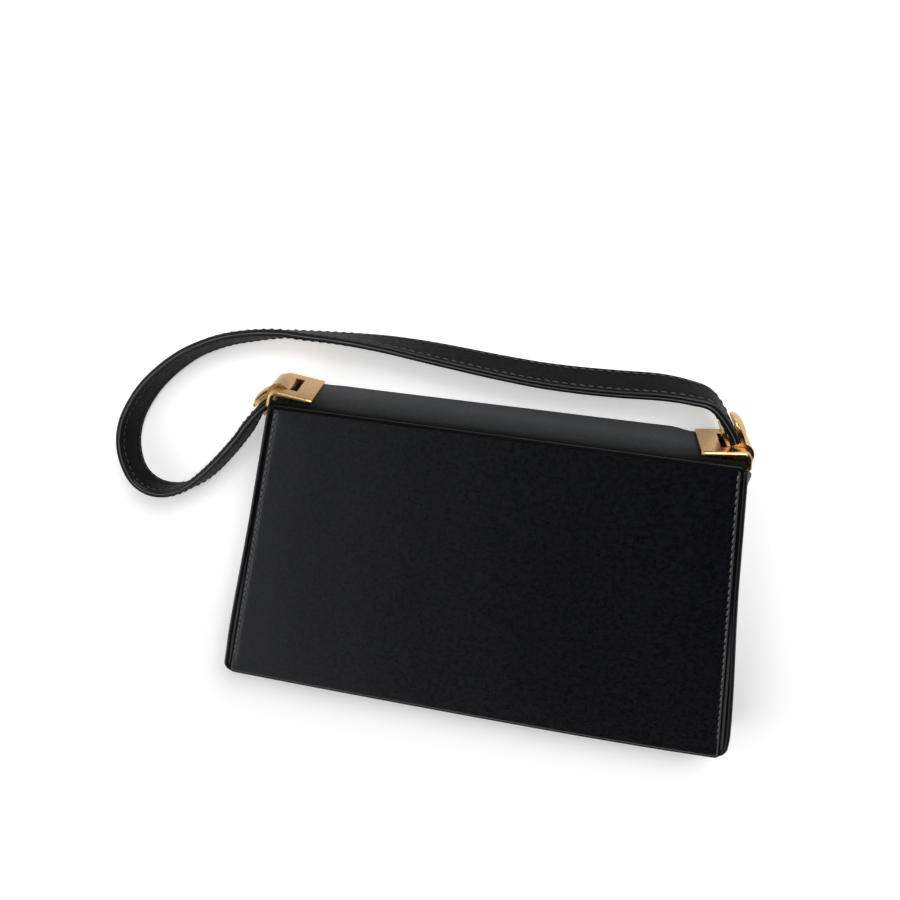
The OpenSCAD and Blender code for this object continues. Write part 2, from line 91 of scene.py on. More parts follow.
# The strap's way round, as shares of the distance between the bars: across, up, share of its height at
# the links, lean in degrees
STRAP_ROUTE = [
    (-0.074, -0.090, 0.78, 6), (-0.094, -0.127, 0.66, 9), (-0.141, -0.194, 0.42, 12),
    (-0.189, -0.252, 0.20, 14), (-0.233, -0.291, 0.08, 13), (-0.284, -0.313, 0, 10),
    (-0.333, -0.310, 0, 7), (-0.370, -0.281, 0, 2), (-0.388, -0.229, 0, -5),
    (-0.389, -0.177, 0, -12), (-0.376, -0.126, 0, -16), (-0.349, -0.073, 0, -18),
    (-0.317, -0.029, 0, -19.5), (-0.275, 0.014, 0, -20), (-0.230, 0.050, 0, -20.5),
    (-0.184, 0.076, 0, -21.5), (-0.139, 0.095, 0, -22.5), (-0.094, 0.108, 0, -22.5),
    (-0.050, 0.118, 0, -20.5), (-0.004, 0.125, 0, -17.5), (0.039, 0.127, 0, -14),
    (0.130, 0.130, 0, -9), (0.220, 0.129, 0, -2), (0.310, 0.123, 0, 4.5),
    (0.398, 0.115, 0, 8), (0.485, 0.107, 0, 10), (0.571, 0.102, 0.08, 11.5),
    (0.655, 0.102, 0.18, 12.5), (0.738, 0.106, 0.34, 13), (0.819, 0.112, 0.54, 11.5),
    (0.880, 0.110, 0.75, 8), (0.927, 0.099, 0.90, 3.5),
]
WHITE = (1.0, 1.0, 1.0, 1.0)


# ---- sizes and colours that a user would change


def size_field(label, says, default, low, high):
    return bpy.props.FloatProperty(name=label, description=says, default=default, min=low, max=high, unit="LENGTH")


def colour_field(label, says, *default):
    return bpy.props.FloatVectorProperty(name=label, description=says, subtype="COLOR", size=4,
                                         default=(*default, 1.0), min=0.0, max=1.0)


class BagSizes(bpy.types.PropertyGroup):
    stitch_pitch: size_field("Stitch pitch", "Distance from one stitch to the next", 0.0036, 0.002, 0.006)
    stitch_length: size_field("Stitch length", "Visible length of each stitch", 0.0026, 0.001, 0.005)
    thread: size_field("Thread", "Thickness of the sewing thread", 0.0007, 0.0003, 0.0012)
    seam_inset: size_field("Seam inset", "Distance of the side seams from the leather's edge", 0.0019, 0.0015, 0.005)
    edging: size_field("Edging", "Width of the rolled edging at the flap's sides", 0.0023, 0.0015, 0.003)
    metal_bevel: size_field("Metal rounding", "Rounding of the metal's edges", 0.00035, 0.0001, 0.0006)
    grain_scale: bpy.props.FloatProperty(
        name="Grain", description="Grain cells in a metre of leather", default=1500.0, min=300.0, max=4000.0)


class BagColours(bpy.types.PropertyGroup):
    leather: colour_field("Leather", "Colour of the body's leather", 0.0017, 0.0019, 0.0030)
    strap: colour_field("Strap", "Colour of the strap's leather", 0.0024, 0.0025, 0.0026)
    paint: colour_field("Edge paint", "Colour of the painted leather edges", 0.0014, 0.0014, 0.0017)
    thread: colour_field("Thread", "Colour of the sewing thread", 0.075, 0.080, 0.085)
    lining: colour_field("Lining", "Colour of the suede lining", 0.014, 0.0135, 0.0145)
    metal: colour_field("Metal", "Colour of the gold-toned metal", 0.51, 0.312, 0.130)


# ---- node groups


def add_node(tree, kind, sockets=None, **settings):
    """Adds a node. sockets gives each named input its value, or another node's output to link to it."""
    node = tree.nodes.new("ShaderNode" + kind)
    for key, value in settings.items():
        setattr(node, key, value)
    for key, value in (sockets or {}).items():
        if isinstance(value, bpy.types.NodeSocket):
            tree.links.new(value, node.inputs[key])
        else:
            node.inputs[key].default_value = value
    return node


def math_node(tree, operation, *values, clamped=False):
    return add_node(tree, "Math", dict(enumerate(values)), operation=operation, use_clamp=clamped).outputs[0]


def times(tree, first, second, clamped=False):
    return math_node(tree, "MULTIPLY", first, second, clamped=clamped)


def spread(tree, value, low, high, to_low=0.0, to_high=1.0):
    """Maps the range low to high of a value onto another range."""
    sockets = {"Value": value, "From Min": low, "From Max": high, "To Min": to_low, "To Max": to_high}
    return add_node(tree, "MapRange", sockets).outputs["Result"]


def place_in(tree):
    return add_node(tree, "TexCoord").outputs["Object"]


def part_of(tree, vector, axis):
    return add_node(tree, "SeparateXYZ", {"Vector": vector}).outputs[axis]


def clouds(tree, place, scale, detail, roughness=0.5):
    sockets = {"Vector": place, "Scale": scale, "Detail": detail, "Roughness": roughness}
    return add_node(tree, "TexNoise", sockets).outputs


def grain_nodes(group, source):
    """Fine leather grain: pebbled cells of two sizes, with pores in the creases between them."""
    place = place_in(group)
    wander = clouds(group, place, 260.0, 2.0)["Color"]
    bent = add_node(group, "MixRGB", {"Fac": 0.0016, "Color1": place, "Color2": wander}).outputs[0]
    cells = add_node(group, "TexVoronoi", {"Vector": bent, "Scale": source["Scale"]},
                     feature="DISTANCE_TO_EDGE").outputs["Distance"]
    fine_scale = times(group, source["Scale"], 2.3)
    small = add_node(group, "TexVoronoi", {"Vector": bent, "Scale": fine_scale}, feature="F1").outputs["Distance"]
    pebble = math_node(group, "POWER", spread(group, cells, 0.0, 0.45), source["Softness"])
    return {"Height": math_node(group, "ADD", pebble, times(group, small, 0.35)),
            "Crease": spread(group, cells, 0.0, 0.16, 1.0, 0.0)}


def wear_nodes(group, source):
    """Rubbed edges: more where the surface turns sharply, in patches."""
    turn = add_node(group, "NewGeometry").outputs["Pointiness"]
    patches = clouds(group, place_in(group), source["Patch Scale"], 4.0)["Fac"]
    mask = times(group, spread(group, turn, 0.515, 0.60), spread(group, patches, 0.35, 0.65))
    return {"Mask": times(group, mask, source["Amount"], clamped=True)}


def mottle_nodes(group, source):
    """Slow changes of tone over a surface, with fainter fine smudges."""
    place = place_in(group)
    slow = clouds(group, place, source["Scale"], 3.0)["Fac"]
    smudge = clouds(group, place, source["Smudge Scale"], 6.0, 0.65)["Fac"]
    return {"Slow": spread(group, slow, 0.3, 0.7), "Smudge": spread(group, smudge, 0.3, 0.7)}


# Each shared group's inputs, and what adds its nodes
GROUPS = {
    "Leather grain": ({"Scale": 1500.0, "Softness": 0.5}, grain_nodes),
    "Edge wear": ({"Amount": 0.5, "Patch Scale": 60.0}, wear_nodes),
    "Soft mottle": ({"Scale": 25.0, "Smudge Scale": 300.0}, mottle_nodes),
}


def shader_group(name):
    """The shared node group of that name, built the first time it is asked for."""
    made = bpy.data.node_groups.get(name)
    if made:
        return made
    inputs, add_nodes = GROUPS[name]
    group = bpy.data.node_groups.new(name, "ShaderNodeTree")
    for label, default in inputs.items():
        socket = group.interface.new_socket(label, in_out="INPUT", socket_type="NodeSocketFloat")
        socket.default_value = default
    results = add_nodes(group, group.nodes.new("NodeGroupInput").outputs)
    for label in results:
        group.interface.new_socket(label, in_out="OUTPUT", socket_type="NodeSocketFloat")
    sink = group.nodes.new("NodeGroupOutput")
    for label, result in results.items():
        group.links.new(result, sink.inputs[label])
    return group


def from_group(tree, name, **values):
    """The outputs of a shared group that is given these values."""
    sockets = {key.replace("_", " "): value for key, value in values.items()}
    return add_node(tree, "Group", sockets, node_tree=shader_group(name)).outputs


# ---- materials


def new_material(name, **sockets):
    """A material with one Principled shader, whose plain sockets are set here."""
    material = bpy.data.materials.new(name)
    material.use_nodes = True
    tree = material.node_tree
    shader = tree.nodes["Principled BSDF"]
    for key, value in sockets.items():
        shader.inputs[key.replace("_", " ")].default_value = value
    material.diffuse_color = shader.inputs["Base Color"].default_value
    return material, tree


def feed_shader(tree, tone, rough, height, strength, distance):
    """Links a colour, a roughness and a bump to the material's shader."""
    sockets = tree.nodes["Principled BSDF"].inputs
    bump = add_node(tree, "Bump", {"Height": height, "Strength": strength, "Distance": distance})
    for key, output in (("Base Color", tone), ("Roughness", rough), ("Normal", bump.outputs["Normal"])):
        if output is not None:
            tree.links.new(output, sockets[key])


def mix_colour(tree, factor, first, second, mode="MIX"):
    return add_node(tree, "Mix", {"Factor": factor, "A": first, "B": second}, data_type="RGBA",
                    blend_type=mode).outputs["Result"]


def tinted(colour, share):
    return tuple(min(1.0, part * share) for part in colour[:3]) + (1.0,)


def shades(tree, mask, colour, low, high):
    """From a darker to a lighter share of the colour by the mask."""
    return mix_colour(tree, mask, tinted(colour, low), tinted(colour, high))


def leather_material(name, colour, scale, roughness, depth, gloss, painted_light_shares=None, sheen=WHITE):
    """Smooth calf leather: pebbled grain, slow tone changes, glossier rubbed places and lighter edges.

    Where given, the last argument gives the share of the colour at the floor and at the flap's hinge: painted light,
    lighter near the floor as a painted reflection of it and darker at the hinge as painted shade.
    """
    material, tree = new_material(name, Base_Color=colour, Specular_IOR_Level=gloss, IOR=1.5, Specular_Tint=sheen)
    grain = from_group(tree, "Leather grain", Scale=scale, Softness=0.6)
    mottle = from_group(tree, "Soft mottle", Scale=22.0, Smudge_Scale=420.0)
    rub = from_group(tree, "Edge wear", Amount=0.5, Patch_Scale=80.0)["Mask"]
    tone = shades(tree, mottle["Slow"], colour, 0.86, 1.16)
    tone = mix_colour(tree, times(tree, grain["Crease"], 0.35), tone, tinted(colour, 0.45))
    tone = mix_colour(tree, rub, tone, tinted(colour, 3.2))
    # Painted light: the colour is lighter towards the floor, a painted reflection of it, and darker towards the
    # flap's hinge, painted shade.
    if painted_light_shares:
        height = part_of(tree, place_in(tree), "Z")
        tone = mix_colour(tree, 1.0, tone, spread(tree, height, 0.002, 0.031, *painted_light_shares), "MULTIPLY")
    rough = spread(tree, mottle["Smudge"], 0.0, 1.0, roughness - 0.08, roughness + 0.10)
    rough = math_node(tree, "ADD", rough, times(tree, grain["Crease"], 0.12), clamped=True)
    feed_shader(tree, tone, rough, grain["Height"], depth, 0.00012)
    return material


def paint_material(name, colour, roughness):
    """Edge paint: a rounded, slightly uneven glossy coat."""
    material, tree = new_material(name, Base_Color=colour, Specular_IOR_Level=0.3, IOR=1.45)
    mottle = from_group(tree, "Soft mottle", Scale=180.0, Smudge_Scale=900.0)
    rub = from_group(tree, "Edge wear", Amount=0.3, Patch_Scale=150.0)["Mask"]
    tone = mix_colour(tree, rub, shades(tree, mottle["Slow"], colour, 0.8, 1.3), tinted(colour, 4.0))
    rough = spread(tree, mottle["Smudge"], 0.0, 1.0, roughness - 0.06, roughness + 0.1)
    feed_shader(tree, tone, rough, mottle["Slow"], 0.35, 0.0001)
    return material


def thread_material(name, colour):
    """Bonded thread: twisted strands seen as slanted ridges."""
    material, tree = new_material(name, Base_Color=colour, Roughness=0.5)
    twist = add_node(tree, "TexWave", {"Vector": place_in(tree), "Scale": 900.0, "Distortion": 1.2, "Detail": 1.0},
                     bands_direction="DIAGONAL").outputs["Fac"]
    mottle = from_group(tree, "Soft mottle", Scale=300.0, Smudge_Scale=1500.0)
    worn = times(tree, mottle["Slow"], 0.5)
    tone = mix_colour(tree, worn, shades(tree, twist, colour, 0.6, 1.25), tinted(colour, 0.55))
    feed_shader(tree, tone, spread(tree, mottle["Smudge"], 0.0, 1.0, 0.42, 0.62), twist, 0.6, 0.0001)
    return material


def suede_material(name, colour):
    """Suede lining: soft nap with brushed lighter patches."""
    material, tree = new_material(name, Base_Color=colour, Roughness=0.95, Sheen_Weight=0.35, Sheen_Roughness=0.5)
    mottle = from_group(tree, "Soft mottle", Scale=35.0, Smudge_Scale=2600.0)
    tone = shades(tree, mottle["Slow"], colour, 0.78, 1.3)
    tone = mix_colour(tree, times(tree, mottle["Smudge"], 0.4), tone, tinted(colour, 1.7))
    feed_shader(tree, tone, None, mottle["Smudge"], 0.5, 0.00015)
    return material


def metal_material(name, colour, roughness):
    """Plated metal: polished, with faint brushing, smudges and paler rubbed edges."""
    material, tree = new_material(name, Base_Color=colour, Metallic=1.0)
    stretched = add_node(tree, "Mapping", {"Vector": place_in(tree), "Scale": (1.0, 14.0, 14.0)}).outputs[0]
    brushing = clouds(tree, stretched, 200.0, 1.5)["Fac"]
    mottle = from_group(tree, "Soft mottle", Scale=120.0, Smudge_Scale=700.0)
    rub = from_group(tree, "Edge wear", Amount=0.7, Patch_Scale=200.0)["Mask"]
    tone = mix_colour(tree, rub, shades(tree, mottle["Slow"], colour, 0.88, 1.06), tinted(colour, 1.25))
    smudged = spread(tree, mottle["Smudge"], 0.0, 1.0, roughness - 0.03, roughness + 0.05)
    rough = math_node(tree, "ADD", smudged, times(tree, brushing, 0.04))
    feed_shader(tree, tone, rough, brushing, 0.06, 0.00002)
    return material


def board_material(name, colour):
    """Bonded fibre board: pressed flecks."""
    material, tree = new_material(name, Base_Color=colour, Roughness=0.9)
    mottle = from_group(tree, "Soft mottle", Scale=400.0, Smudge_Scale=1800.0)
    feed_shader(tree, shades(tree, mottle["Slow"], colour, 0.7, 1.25), None, mottle["Smudge"], 0.4, 0.0001)
    return material


def finish(name):
    """The bag's material of that name, made the first time it is asked for."""
    made = bpy.data.materials.get(name)
    if made:
        return made
    colours, grain = bpy.context.scene.bag_colours, bpy.context.scene.bag_sizes.grain_scale
    makers = {
        "Body leather": lambda: leather_material(name, tuple(colours.leather), grain, 0.26, 0.34, 0.4,
                                                 sheen=(0.90, 0.92, 1.0, 1.0)),
        "Strap leather": lambda: leather_material(name, tuple(colours.strap), grain * 0.9, 0.48, 0.28, 0.032),
        # The strip's colour carries painted light: lighter near the floor as a painted reflection, darker at the
        # flap's hinge as painted shade.
        "Strip leather": lambda: leather_material(name, tinted(colours.strap, 1.4), grain, 0.62, 0.30, 0.03,
                                                  painted_light_shares=(20.0, 0.4)),
        "Edge paint": lambda: paint_material(name, tuple(colours.paint), 0.34),
        "Edging": lambda: paint_material(name, tinted(colours.leather, 1.3), 0.36),
        "Edge seam": lambda: paint_material(name, tinted(colours.thread, 0.9), 0.5),
        "Sewing thread": lambda: thread_material(name, tuple(colours.thread)),
        "Strap thread": lambda: thread_material(name, tinted(colours.thread, 0.24)),
        "Suede lining": lambda: suede_material(name, tuple(colours.lining)),
        "Gold metal": lambda: metal_material(name, tuple(colours.metal), 0.23),
        "Plated steel": lambda: metal_material(name, (0.56, 0.56, 0.58, 1.0), 0.25),
        "Fibre board": lambda: board_material(name, (0.27, 0.19, 0.115, 1.0)),
    }
    return makers[name]()


# ---- small sums


def clamp(value):
    return min(1.0, max(0.0, value))


def ease(value):
    """Rises smoothly from 0 to 1 while the value does."""
    share = clamp(value)
    return share * share * (3 - 2 * share)


def hump(distance, width):
    """1 at no distance, dying out smoothly past the width."""
    return math.exp(-(distance / width) ** 2)


def ripple(x, y, scale, seed=0.0):
    """A smooth random height between about -1 and 1."""
    return noise.noise(Vector((x / scale + seed, y / scale - seed, seed * 0.37)))


def turns(count):
    return [2 * math.pi * k / count for k in range(count)]


def steps(low, high, count):
    """Even steps from low to high, both counted in."""
    return [low + (high - low) * k / count for k in range(count + 1)]


def half_width(y):
    return BASE_HALF + (TOP_HALF - BASE_HALF) * (y + HEIGHT / 2) / HEIGHT


# ---- mesh helpers, in millimetres


def add_object(name, data):
    item = bpy.data.objects.new(name, data)
    bpy.context.scene.collection.objects.link(item)
    return item


def add_piece(name, points, faces, finishes, slots=None, closed=True):
    """Makes an object from points in millimetres. slots gives each face's place in finishes."""
    mesh = bpy.data.meshes.new(name)
    mesh.from_pydata([tuple(c * MM for c in point) for point in points], [], faces)
    for label in finishes:
        mesh.materials.append(finish(label))
    for index, face in enumerate(mesh.polygons):
        face.use_smooth = True
        if slots:
            face.material_index = slots[index]
    if closed:
        work = bmesh.new()
        work.from_mesh(mesh)
        bmesh.ops.recalc_face_normals(work, faces=work.faces)
        work.to_mesh(mesh)
        work.free()
    return add_object(name, mesh)


def settle(piece, body, slot, *nodes):
    """The piece rides on its body and stands for its CAD nodes, which are hidden. slot is not used."""
    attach(piece, body)
    if nodes:
        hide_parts(*nodes)


def ring_faces(rings, count, base=0):
    """Faces between rings of count points that follow each other from the point base on."""
    faces = []
    for k in range(rings - 1):
        here, there = base + k * count, base + (k + 1) * count
        faces += [(here + i, here + (i + 1) % count, there + (i + 1) % count, there + i) for i in range(count)]
    return faces


def capped_faces(rings, count, base=0):
    """The same with both end rings filled."""
    last = base + (rings - 1) * count
    return ring_faces(rings, count, base) + [tuple(range(base + count - 1, base - 1, -1)),
                                             tuple(range(last, last + count))]


def inset_corners(corners, inset):
    """The outline's corners after each side has moved in by inset."""
    sides = []
    for index, corner in enumerate(corners):
        along = (corners[(index + 1) % len(corners)] - corner).normalized()
        sides.append((corner + Vector((-along.y, along.x)) * inset, along))
    moved = []
    for (p, t), (q, s) in zip([sides[-1]] + sides[:-1], sides):
        gap = q - p
        moved.append(p + t * ((gap.x * s.y - gap.y * s.x) / (t.x * s.y - t.y * s.x)))
    return moved


def rounded_ring(corners, radii, inset, arc, straight):
    """Points round a four-sided outline, starting at the middle of its first corner's arc."""
    corners = inset_corners(corners, inset)
    arcs = []
    for index, corner in enumerate(corners):
        before = (corners[index - 1] - corner).normalized()
        after = (corners[(index + 1) % 4] - corner).normalized()
        half = before.angle(after) / 2
        radius = max(radii[index] - inset, min(radii[index], 1.2))
        centre = corner + (before + after).normalized() * (radius / math.sin(half))
        first = corner + before * (radius / math.tan(half)) - centre
        points = []
        for k in range(2 * arc + 1):
            turn = (math.pi - 2 * half) * k / (2 * arc)
            c, s = math.cos(turn), math.sin(turn)
            points.append(centre + Vector((first.x * c - first.y * s, first.x * s + first.y * c)))
        arcs.append(points)
    ring = []
    for index in range(4):
        here, there = arcs[index], arcs[(index + 1) % 4]
        count = straight[index % 2]
        ring += here[arc:2 * arc]
        ring += [here[2 * arc].lerp(there[0], k / count) for k in range(count)]
        ring += there[:arc]
    return ring


def slab(name, ends, radii, profile, place, finishes, slots, arc, straight):
    """A closed panel. ends gives its half width and y at both ends, radii its corners.

    profile lists (inset, height) from the underside round the edge to the top. place turns (x, y, height) into
    a point. slots names the finish of the underside, the edge and the top. arc and straight count the steps.
    """
    (half, y), (far_half, far_y) = ends
    corners = [Vector(c) for c in ((-half, y), (half, y), (far_half, far_y), (-far_half, far_y))]
    rings = [[(p.x, p.y, height) for p in rounded_ring(corners, radii, inset, arc, straight)]
             for inset, height in profile]
    count = len(rings[0])
    points = [place(*p) for ring in rings for p in ring]
    faces, kinds = ring_faces(len(rings), count), []
    for k, (here, ahead) in enumerate(zip(profile, profile[1:])):
        face = slots[2] if k > len(rings) / 2 else slots[0]
        kinds += [slots[1] if abs(here[1] - ahead[1]) > 0.12 else face] * count
    # the underside and the top are filled with grids that follow their four sides
    across, up = 2 * arc + straight[0], 2 * arc + straight[1]
    low, right = range(across + 1), range(across, across + up + 1)
    high = [(2 * across + up - i) % count for i in range(across + 1)]
    left = [(count - j) % count for j in range(up + 1)]
    for level, slot in ((0, slots[0]), (len(rings) - 1, slots[2])):
        ring, start = [Vector(p) for p in rings[level]], level * count
        c00, c10, c01, c11 = ring[low[0]], ring[low[-1]], ring[high[0]], ring[high[-1]]
        where = {}
        for i in range(across + 1):
            where[(i, 0)], where[(i, up)] = start + low[i], start + high[i]
        for j in range(up + 1):
            where[(0, j)], where[(across, j)] = start + left[j], start + right[j]
        for i in range(1, across):
            a = i / across
            for j in range(1, up):
                b = j / up
                p = (ring[low[i]] * (1 - b) + ring[high[i]] * b + ring[left[j]] * (1 - a) + ring[right[j]] * a
                     - c00 * (1 - a) * (1 - b) - c10 * a * (1 - b) - c01 * (1 - a) * b - c11 * a * b)
                where[(i, j)] = len(points)
                points.append(place(p.x, p.y, p.z))
        faces += [(where[(i, j)], where[(i + 1, j)], where[(i + 1, j + 1)], where[(i, j + 1)])
                  for i in range(across) for j in range(up)]
        kinds += [slot] * (across * up)
    return add_piece(name, points, faces, finishes, kinds)


def edge_profile(top, bottom, radius, inner):
    """Insets and heights of a panel's edge, rounded above and below, from inner insets on both faces."""
    arc = steps(0, math.pi / 2, 3)
    under = [(radius - radius * math.sin(turn), bottom + radius - radius * math.cos(turn)) for turn in arc]
    over = [(radius - radius * math.cos(turn), top - radius + radius * math.sin(turn)) for turn in arc]
    return [(inner, bottom)] + under + over + [(inner, top)]


def tube(path, frame_of, section):
    """Points and faces of a section swept along a path, with both ends capped."""
    points = []
    for index, centre in enumerate(path):
        side, up = frame_of(index)
        points += [centre + side * a + up * b for a, b in section]
    return points, capped_faces(len(path), len(section))


def stitches_along(point_at, out_at, start, end, seed):
    """Centres, directions and outward normals of stitches between two distances along a line."""
    draw = random.Random(seed)
    count = max(1, int((end - start) / (bpy.context.scene.bag_sizes.stitch_pitch / MM)))
    places = []
    for k in range(count):
        s = start + (k + 0.5) * (end - start) / count
        along, out = (point_at(s + 0.4) - point_at(s - 0.4)).normalized(), out_at(s)
        slant = 0.10 + draw.uniform(-0.04, 0.04)
        places.append((point_at(s), (along + along.cross(out) * slant).normalized(), out))
    return places


def add_stitches(name, places, finish_name="Sewing thread"):
    """One piece of all the stitches at the given places."""
    sizes = bpy.context.scene.bag_sizes
    long, thick = sizes.stitch_length / MM, sizes.thread / MM
    points, faces = [], []
    sides, rings = 8, 5
    for centre, along, out in places:
        across = along.cross(out).normalized()
        faces += capped_faces(rings, sides, len(points))
        for k in range(rings):
            share = -1 + 2 * k / (rings - 1)
            radius = thick / 2 * (0.35 if abs(share) == 1 else 1.0)
            rise = thick * 0.28 * (1 - share * share) - thick * 0.05
            middle = centre + along * (share * long / 2) + out * rise
            points += [middle + across * (radius * math.cos(turn)) + out * (radius * math.sin(turn))
                       for turn in turns(sides)]
    return add_piece(name, points, faces, [finish_name], closed=False)


# ---- the flap


FLAP_OUT = Vector((0, -TILT_SIN, TILT_COS))


def on_flap(x, v, n):
    """A point of the flap: v runs down from its top edge as a negative distance, n out of its face."""
    return Vector((x, TOP_Y + v * TILT_COS - n * TILT_SIN, TOP_DEPTH + v * TILT_SIN + n * TILT_COS))


def flap_half(v):
    return half_width(TOP_Y + v * TILT_COS)


def flap_seam():
    """The flap leather's inset from the flap's sides, and its seams' inset from its edge."""
    sizes = bpy.context.scene.bag_sizes
    return sizes.edging / MM, sizes.seam_inset / MM


def foot_bow(x, v):
    """How far the flap's lower edge bows down in its middle, dying out up the flap."""
    half, middle = flap_half(v), 45.0
    reach = half - middle if x > middle else half + middle
    share = max(0.0, 1 - ((x - middle) / reach) ** 2)
    return -(1.6 + 1.7 * share) * max(0.0, -v / FLAP_LENGTH) ** 3


def side_bulge(side, v):
    """How far the edging and the body's side stand out past the flap's leather towards the base."""
    most, drop, start, run = (1.7, 0.7, 141, 12) if side > 0 else (1.1, 0.5, 125, 28)
    return most * ease((-v - 55) / 80) * (1 - drop * clamp((-v - start) / run))


def flap_swell(x, v, inset, seam):
    """How far the flap's face stands off its plane: a soft crown, slow waves and a dip along each seam."""
    side = flap_half(v) - inset - abs(x)
    foot, head = FLAP_LENGTH + v, -v
    crown = 0.35 * clamp(min(side, foot, head) / 18) ** 0.6
    waves = 0.10 * ripple(x, v, 55, 3.1) + 0.05 * ripple(x, v, 21, 7.7)
    dip = 0.38 * hump(side - seam, 0.75) * (clamp((foot - 5) / 6) * clamp((head - 1.0) / 3))
    pull = 0.10 * hump(side - seam - 2.4, 1.6) * ripple(x * 4, v, 4.5, 1.3)
    return crown + waves * clamp(side / 6) - dip + pull - 0.35


def make_flap_panel():
    inset, seam = flap_seam()
    near, arc, straight = 0.45, 5, (72, 64)
    low, high = flap_half(-FLAP_LENGTH) - inset, flap_half(-near) - inset

    def place(x, v, n):
        swell = flap_swell(x, v, inset, seam) if n > -0.05 else 0.0
        return on_flap(x, v + foot_bow(x, v), n + swell)

    profile = [(3.0, -1.45), (0.5, -1.45), (0.12, -1.3), (0.0, -1.0), (0.0, -0.8), (0.08, -0.5), (0.3, -0.3)]
    profile += [(run, 0.0) for run in (0.6, 1.0, 1.35, 1.65, 1.95, 2.25, 2.6, 3.1, 3.8, 5.0, 7.0)]
    piece = slab("flap_panel", ((low, -FLAP_LENGTH), (high, -near)), (2.6, 2.4, 1.5, 1.5), profile, place,
                 ["Suede lining", "Edge paint", "Body leather", "Strap leather"], (0, 1, 2), arc, straight)
    # the duller leather turned over the edge
    round_edge = 2 * (sum(straight) + 4 * arc)
    for index in range(5 * round_edge, 8 * round_edge):
        piece.data.polygons[index].material_index = 3
    settle(piece, "flap", "leather", "flap_leather")


def make_flap_edging():
    """The rolled edging that shows beside the flap's leather, down each side and round the lower corner."""
    points, faces = [], []
    across, deep = 1.15, 1.28
    section = [(across * math.cos(turn), deep * math.sin(turn)) for turn in turns(16)]
    for side, radius in ((-1, 3.2), (1, 4.2)):
        top = Vector((side * (flap_half(-1.2) - across), -1.2))
        corner = Vector((side * (flap_half(-FLAP_LENGTH) - across), -FLAP_LENGTH + across))
        up = (top - corner).normalized()
        inward = Vector((-side, 0))
        half = up.angle(inward) / 2
        reach = radius / math.tan(half)
        centre = corner + (up + inward).normalized() * (radius / math.sin(half))
        start, end = corner + up * reach, corner + inward * reach
        path = [top.lerp(start, k / 50) for k in range(51)]
        path += [centre + (start - centre).lerp(end - centre, k / 9).normalized() * radius for k in range(1, 9)]
        path += [end + inward * (k * 1.2) for k in range(7)]
        flat = [Vector((p[0] + side * side_bulge(side, p[1]), p[1] + foot_bow(p[0], p[1]))) for p in path]
        # its last points sink under the flap's lower edge
        middle = [on_flap(p.x, p.y, -1.72 - 0.9 * max(0, k - (len(flat) - 9)) / 8 + 0.05 * ripple(p.y, side * 9, 6))
                  for k, p in enumerate(flat)]

        def frame_of(index):
            along = (middle[min(index + 1, len(middle) - 1)] - middle[max(index - 1, 0)]).normalized()
            return along.cross(FLAP_OUT).normalized(), FLAP_OUT

        more, sheets = tube(middle, frame_of, section)
        faces += [tuple(len(points) + i for i in face) for face in sheets]
        points += more
    settle(add_piece("flap_edging", points, faces, ["Edging"]), "flap", "leather")


def make_flap_backing():
    """The flap's lining, a flat suede panel under its leather."""
    near, step = FOLD_REACH + 0.5, 1.1
    low, high = flap_half(-FLAP_LENGTH) - step, flap_half(-near) - step
    profile = [(6.0, -3.0), (3.2, -3.0), (2.4, -2.92), (1.2, -3.0)] + edge_profile(-1.5, -3.0, 0.5, 3.0)[1:]
    piece = slab("flap_backing", ((low, -FLAP_LENGTH + step), (high, -near)), (3.0, 3.4, 1.0, 1.0), profile,
                 lambda x, v, n: on_flap(x, v + foot_bow(x, v), n),
                 ["Suede lining", "Edge paint"], (0, 1, 0), 4, (48, 36))
    settle(piece, "flap", "lining", "flap_lining")


def make_flap_stitches():
    inset, seam = flap_seam()
    places = []
    for side in (-1, 1):
        def top_line(s):
            x = side * (flap_half(-s) - inset - seam)
            return on_flap(x, -s, flap_swell(x, -s, inset, seam) + 0.12)

        def under_line(s):
            return on_flap(side * (flap_half(-s) - inset - seam), -s, -2.99)

        places += stitches_along(top_line, lambda s: FLAP_OUT, 3.5, FLAP_LENGTH - 10, 3 + side)
        places += stitches_along(under_line, lambda s: -FLAP_OUT, 4.5, FLAP_LENGTH - 10, 8 + side)
    settle(add_stitches("flap_stitches", places), "flap", "leather")


def make_flap_fold():
    """Leather that turns from the top strip into the flap: a crease above a rounded edge."""
    half = TOP_HALF - SIDE_STEP
    columns, shares = steps(-half, half, 60), steps(0, 1, 12)
    centre_y = TOP_Y - FOLD_RADIUS
    centre_z = TOP_DEPTH - FOLD_RADIUS * math.tan(TILT) - FOLD_RADIUS / TILT_COS
    points = []
    for x in columns:
        end = 1 - clamp((half - abs(x)) / 0.8)
        outer = []
        for share in shares:
            crease = 0.55 * hump(share - 0.30, 0.13)
            outer.append((share, FOLD_RADIUS - crease - 0.08 - 0.3 * end ** 2 + 0.04 * ripple(x, share * 5, 9, 2.2)))
        inner = [(1 - share, FOLD_RADIUS - 1.35) for share in shares]
        for share, radius in outer + inner:
            turn = share * (math.pi / 2 + TILT)
            points.append(Vector((x, centre_y + radius * math.cos(turn), centre_z + radius * math.sin(turn))))
    piece = add_piece("flap_fold_leather", points, capped_faces(len(columns), 2 * len(shares)), ["Strap leather"])
    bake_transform(piece)
    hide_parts("flap_fold")


# ---- the body


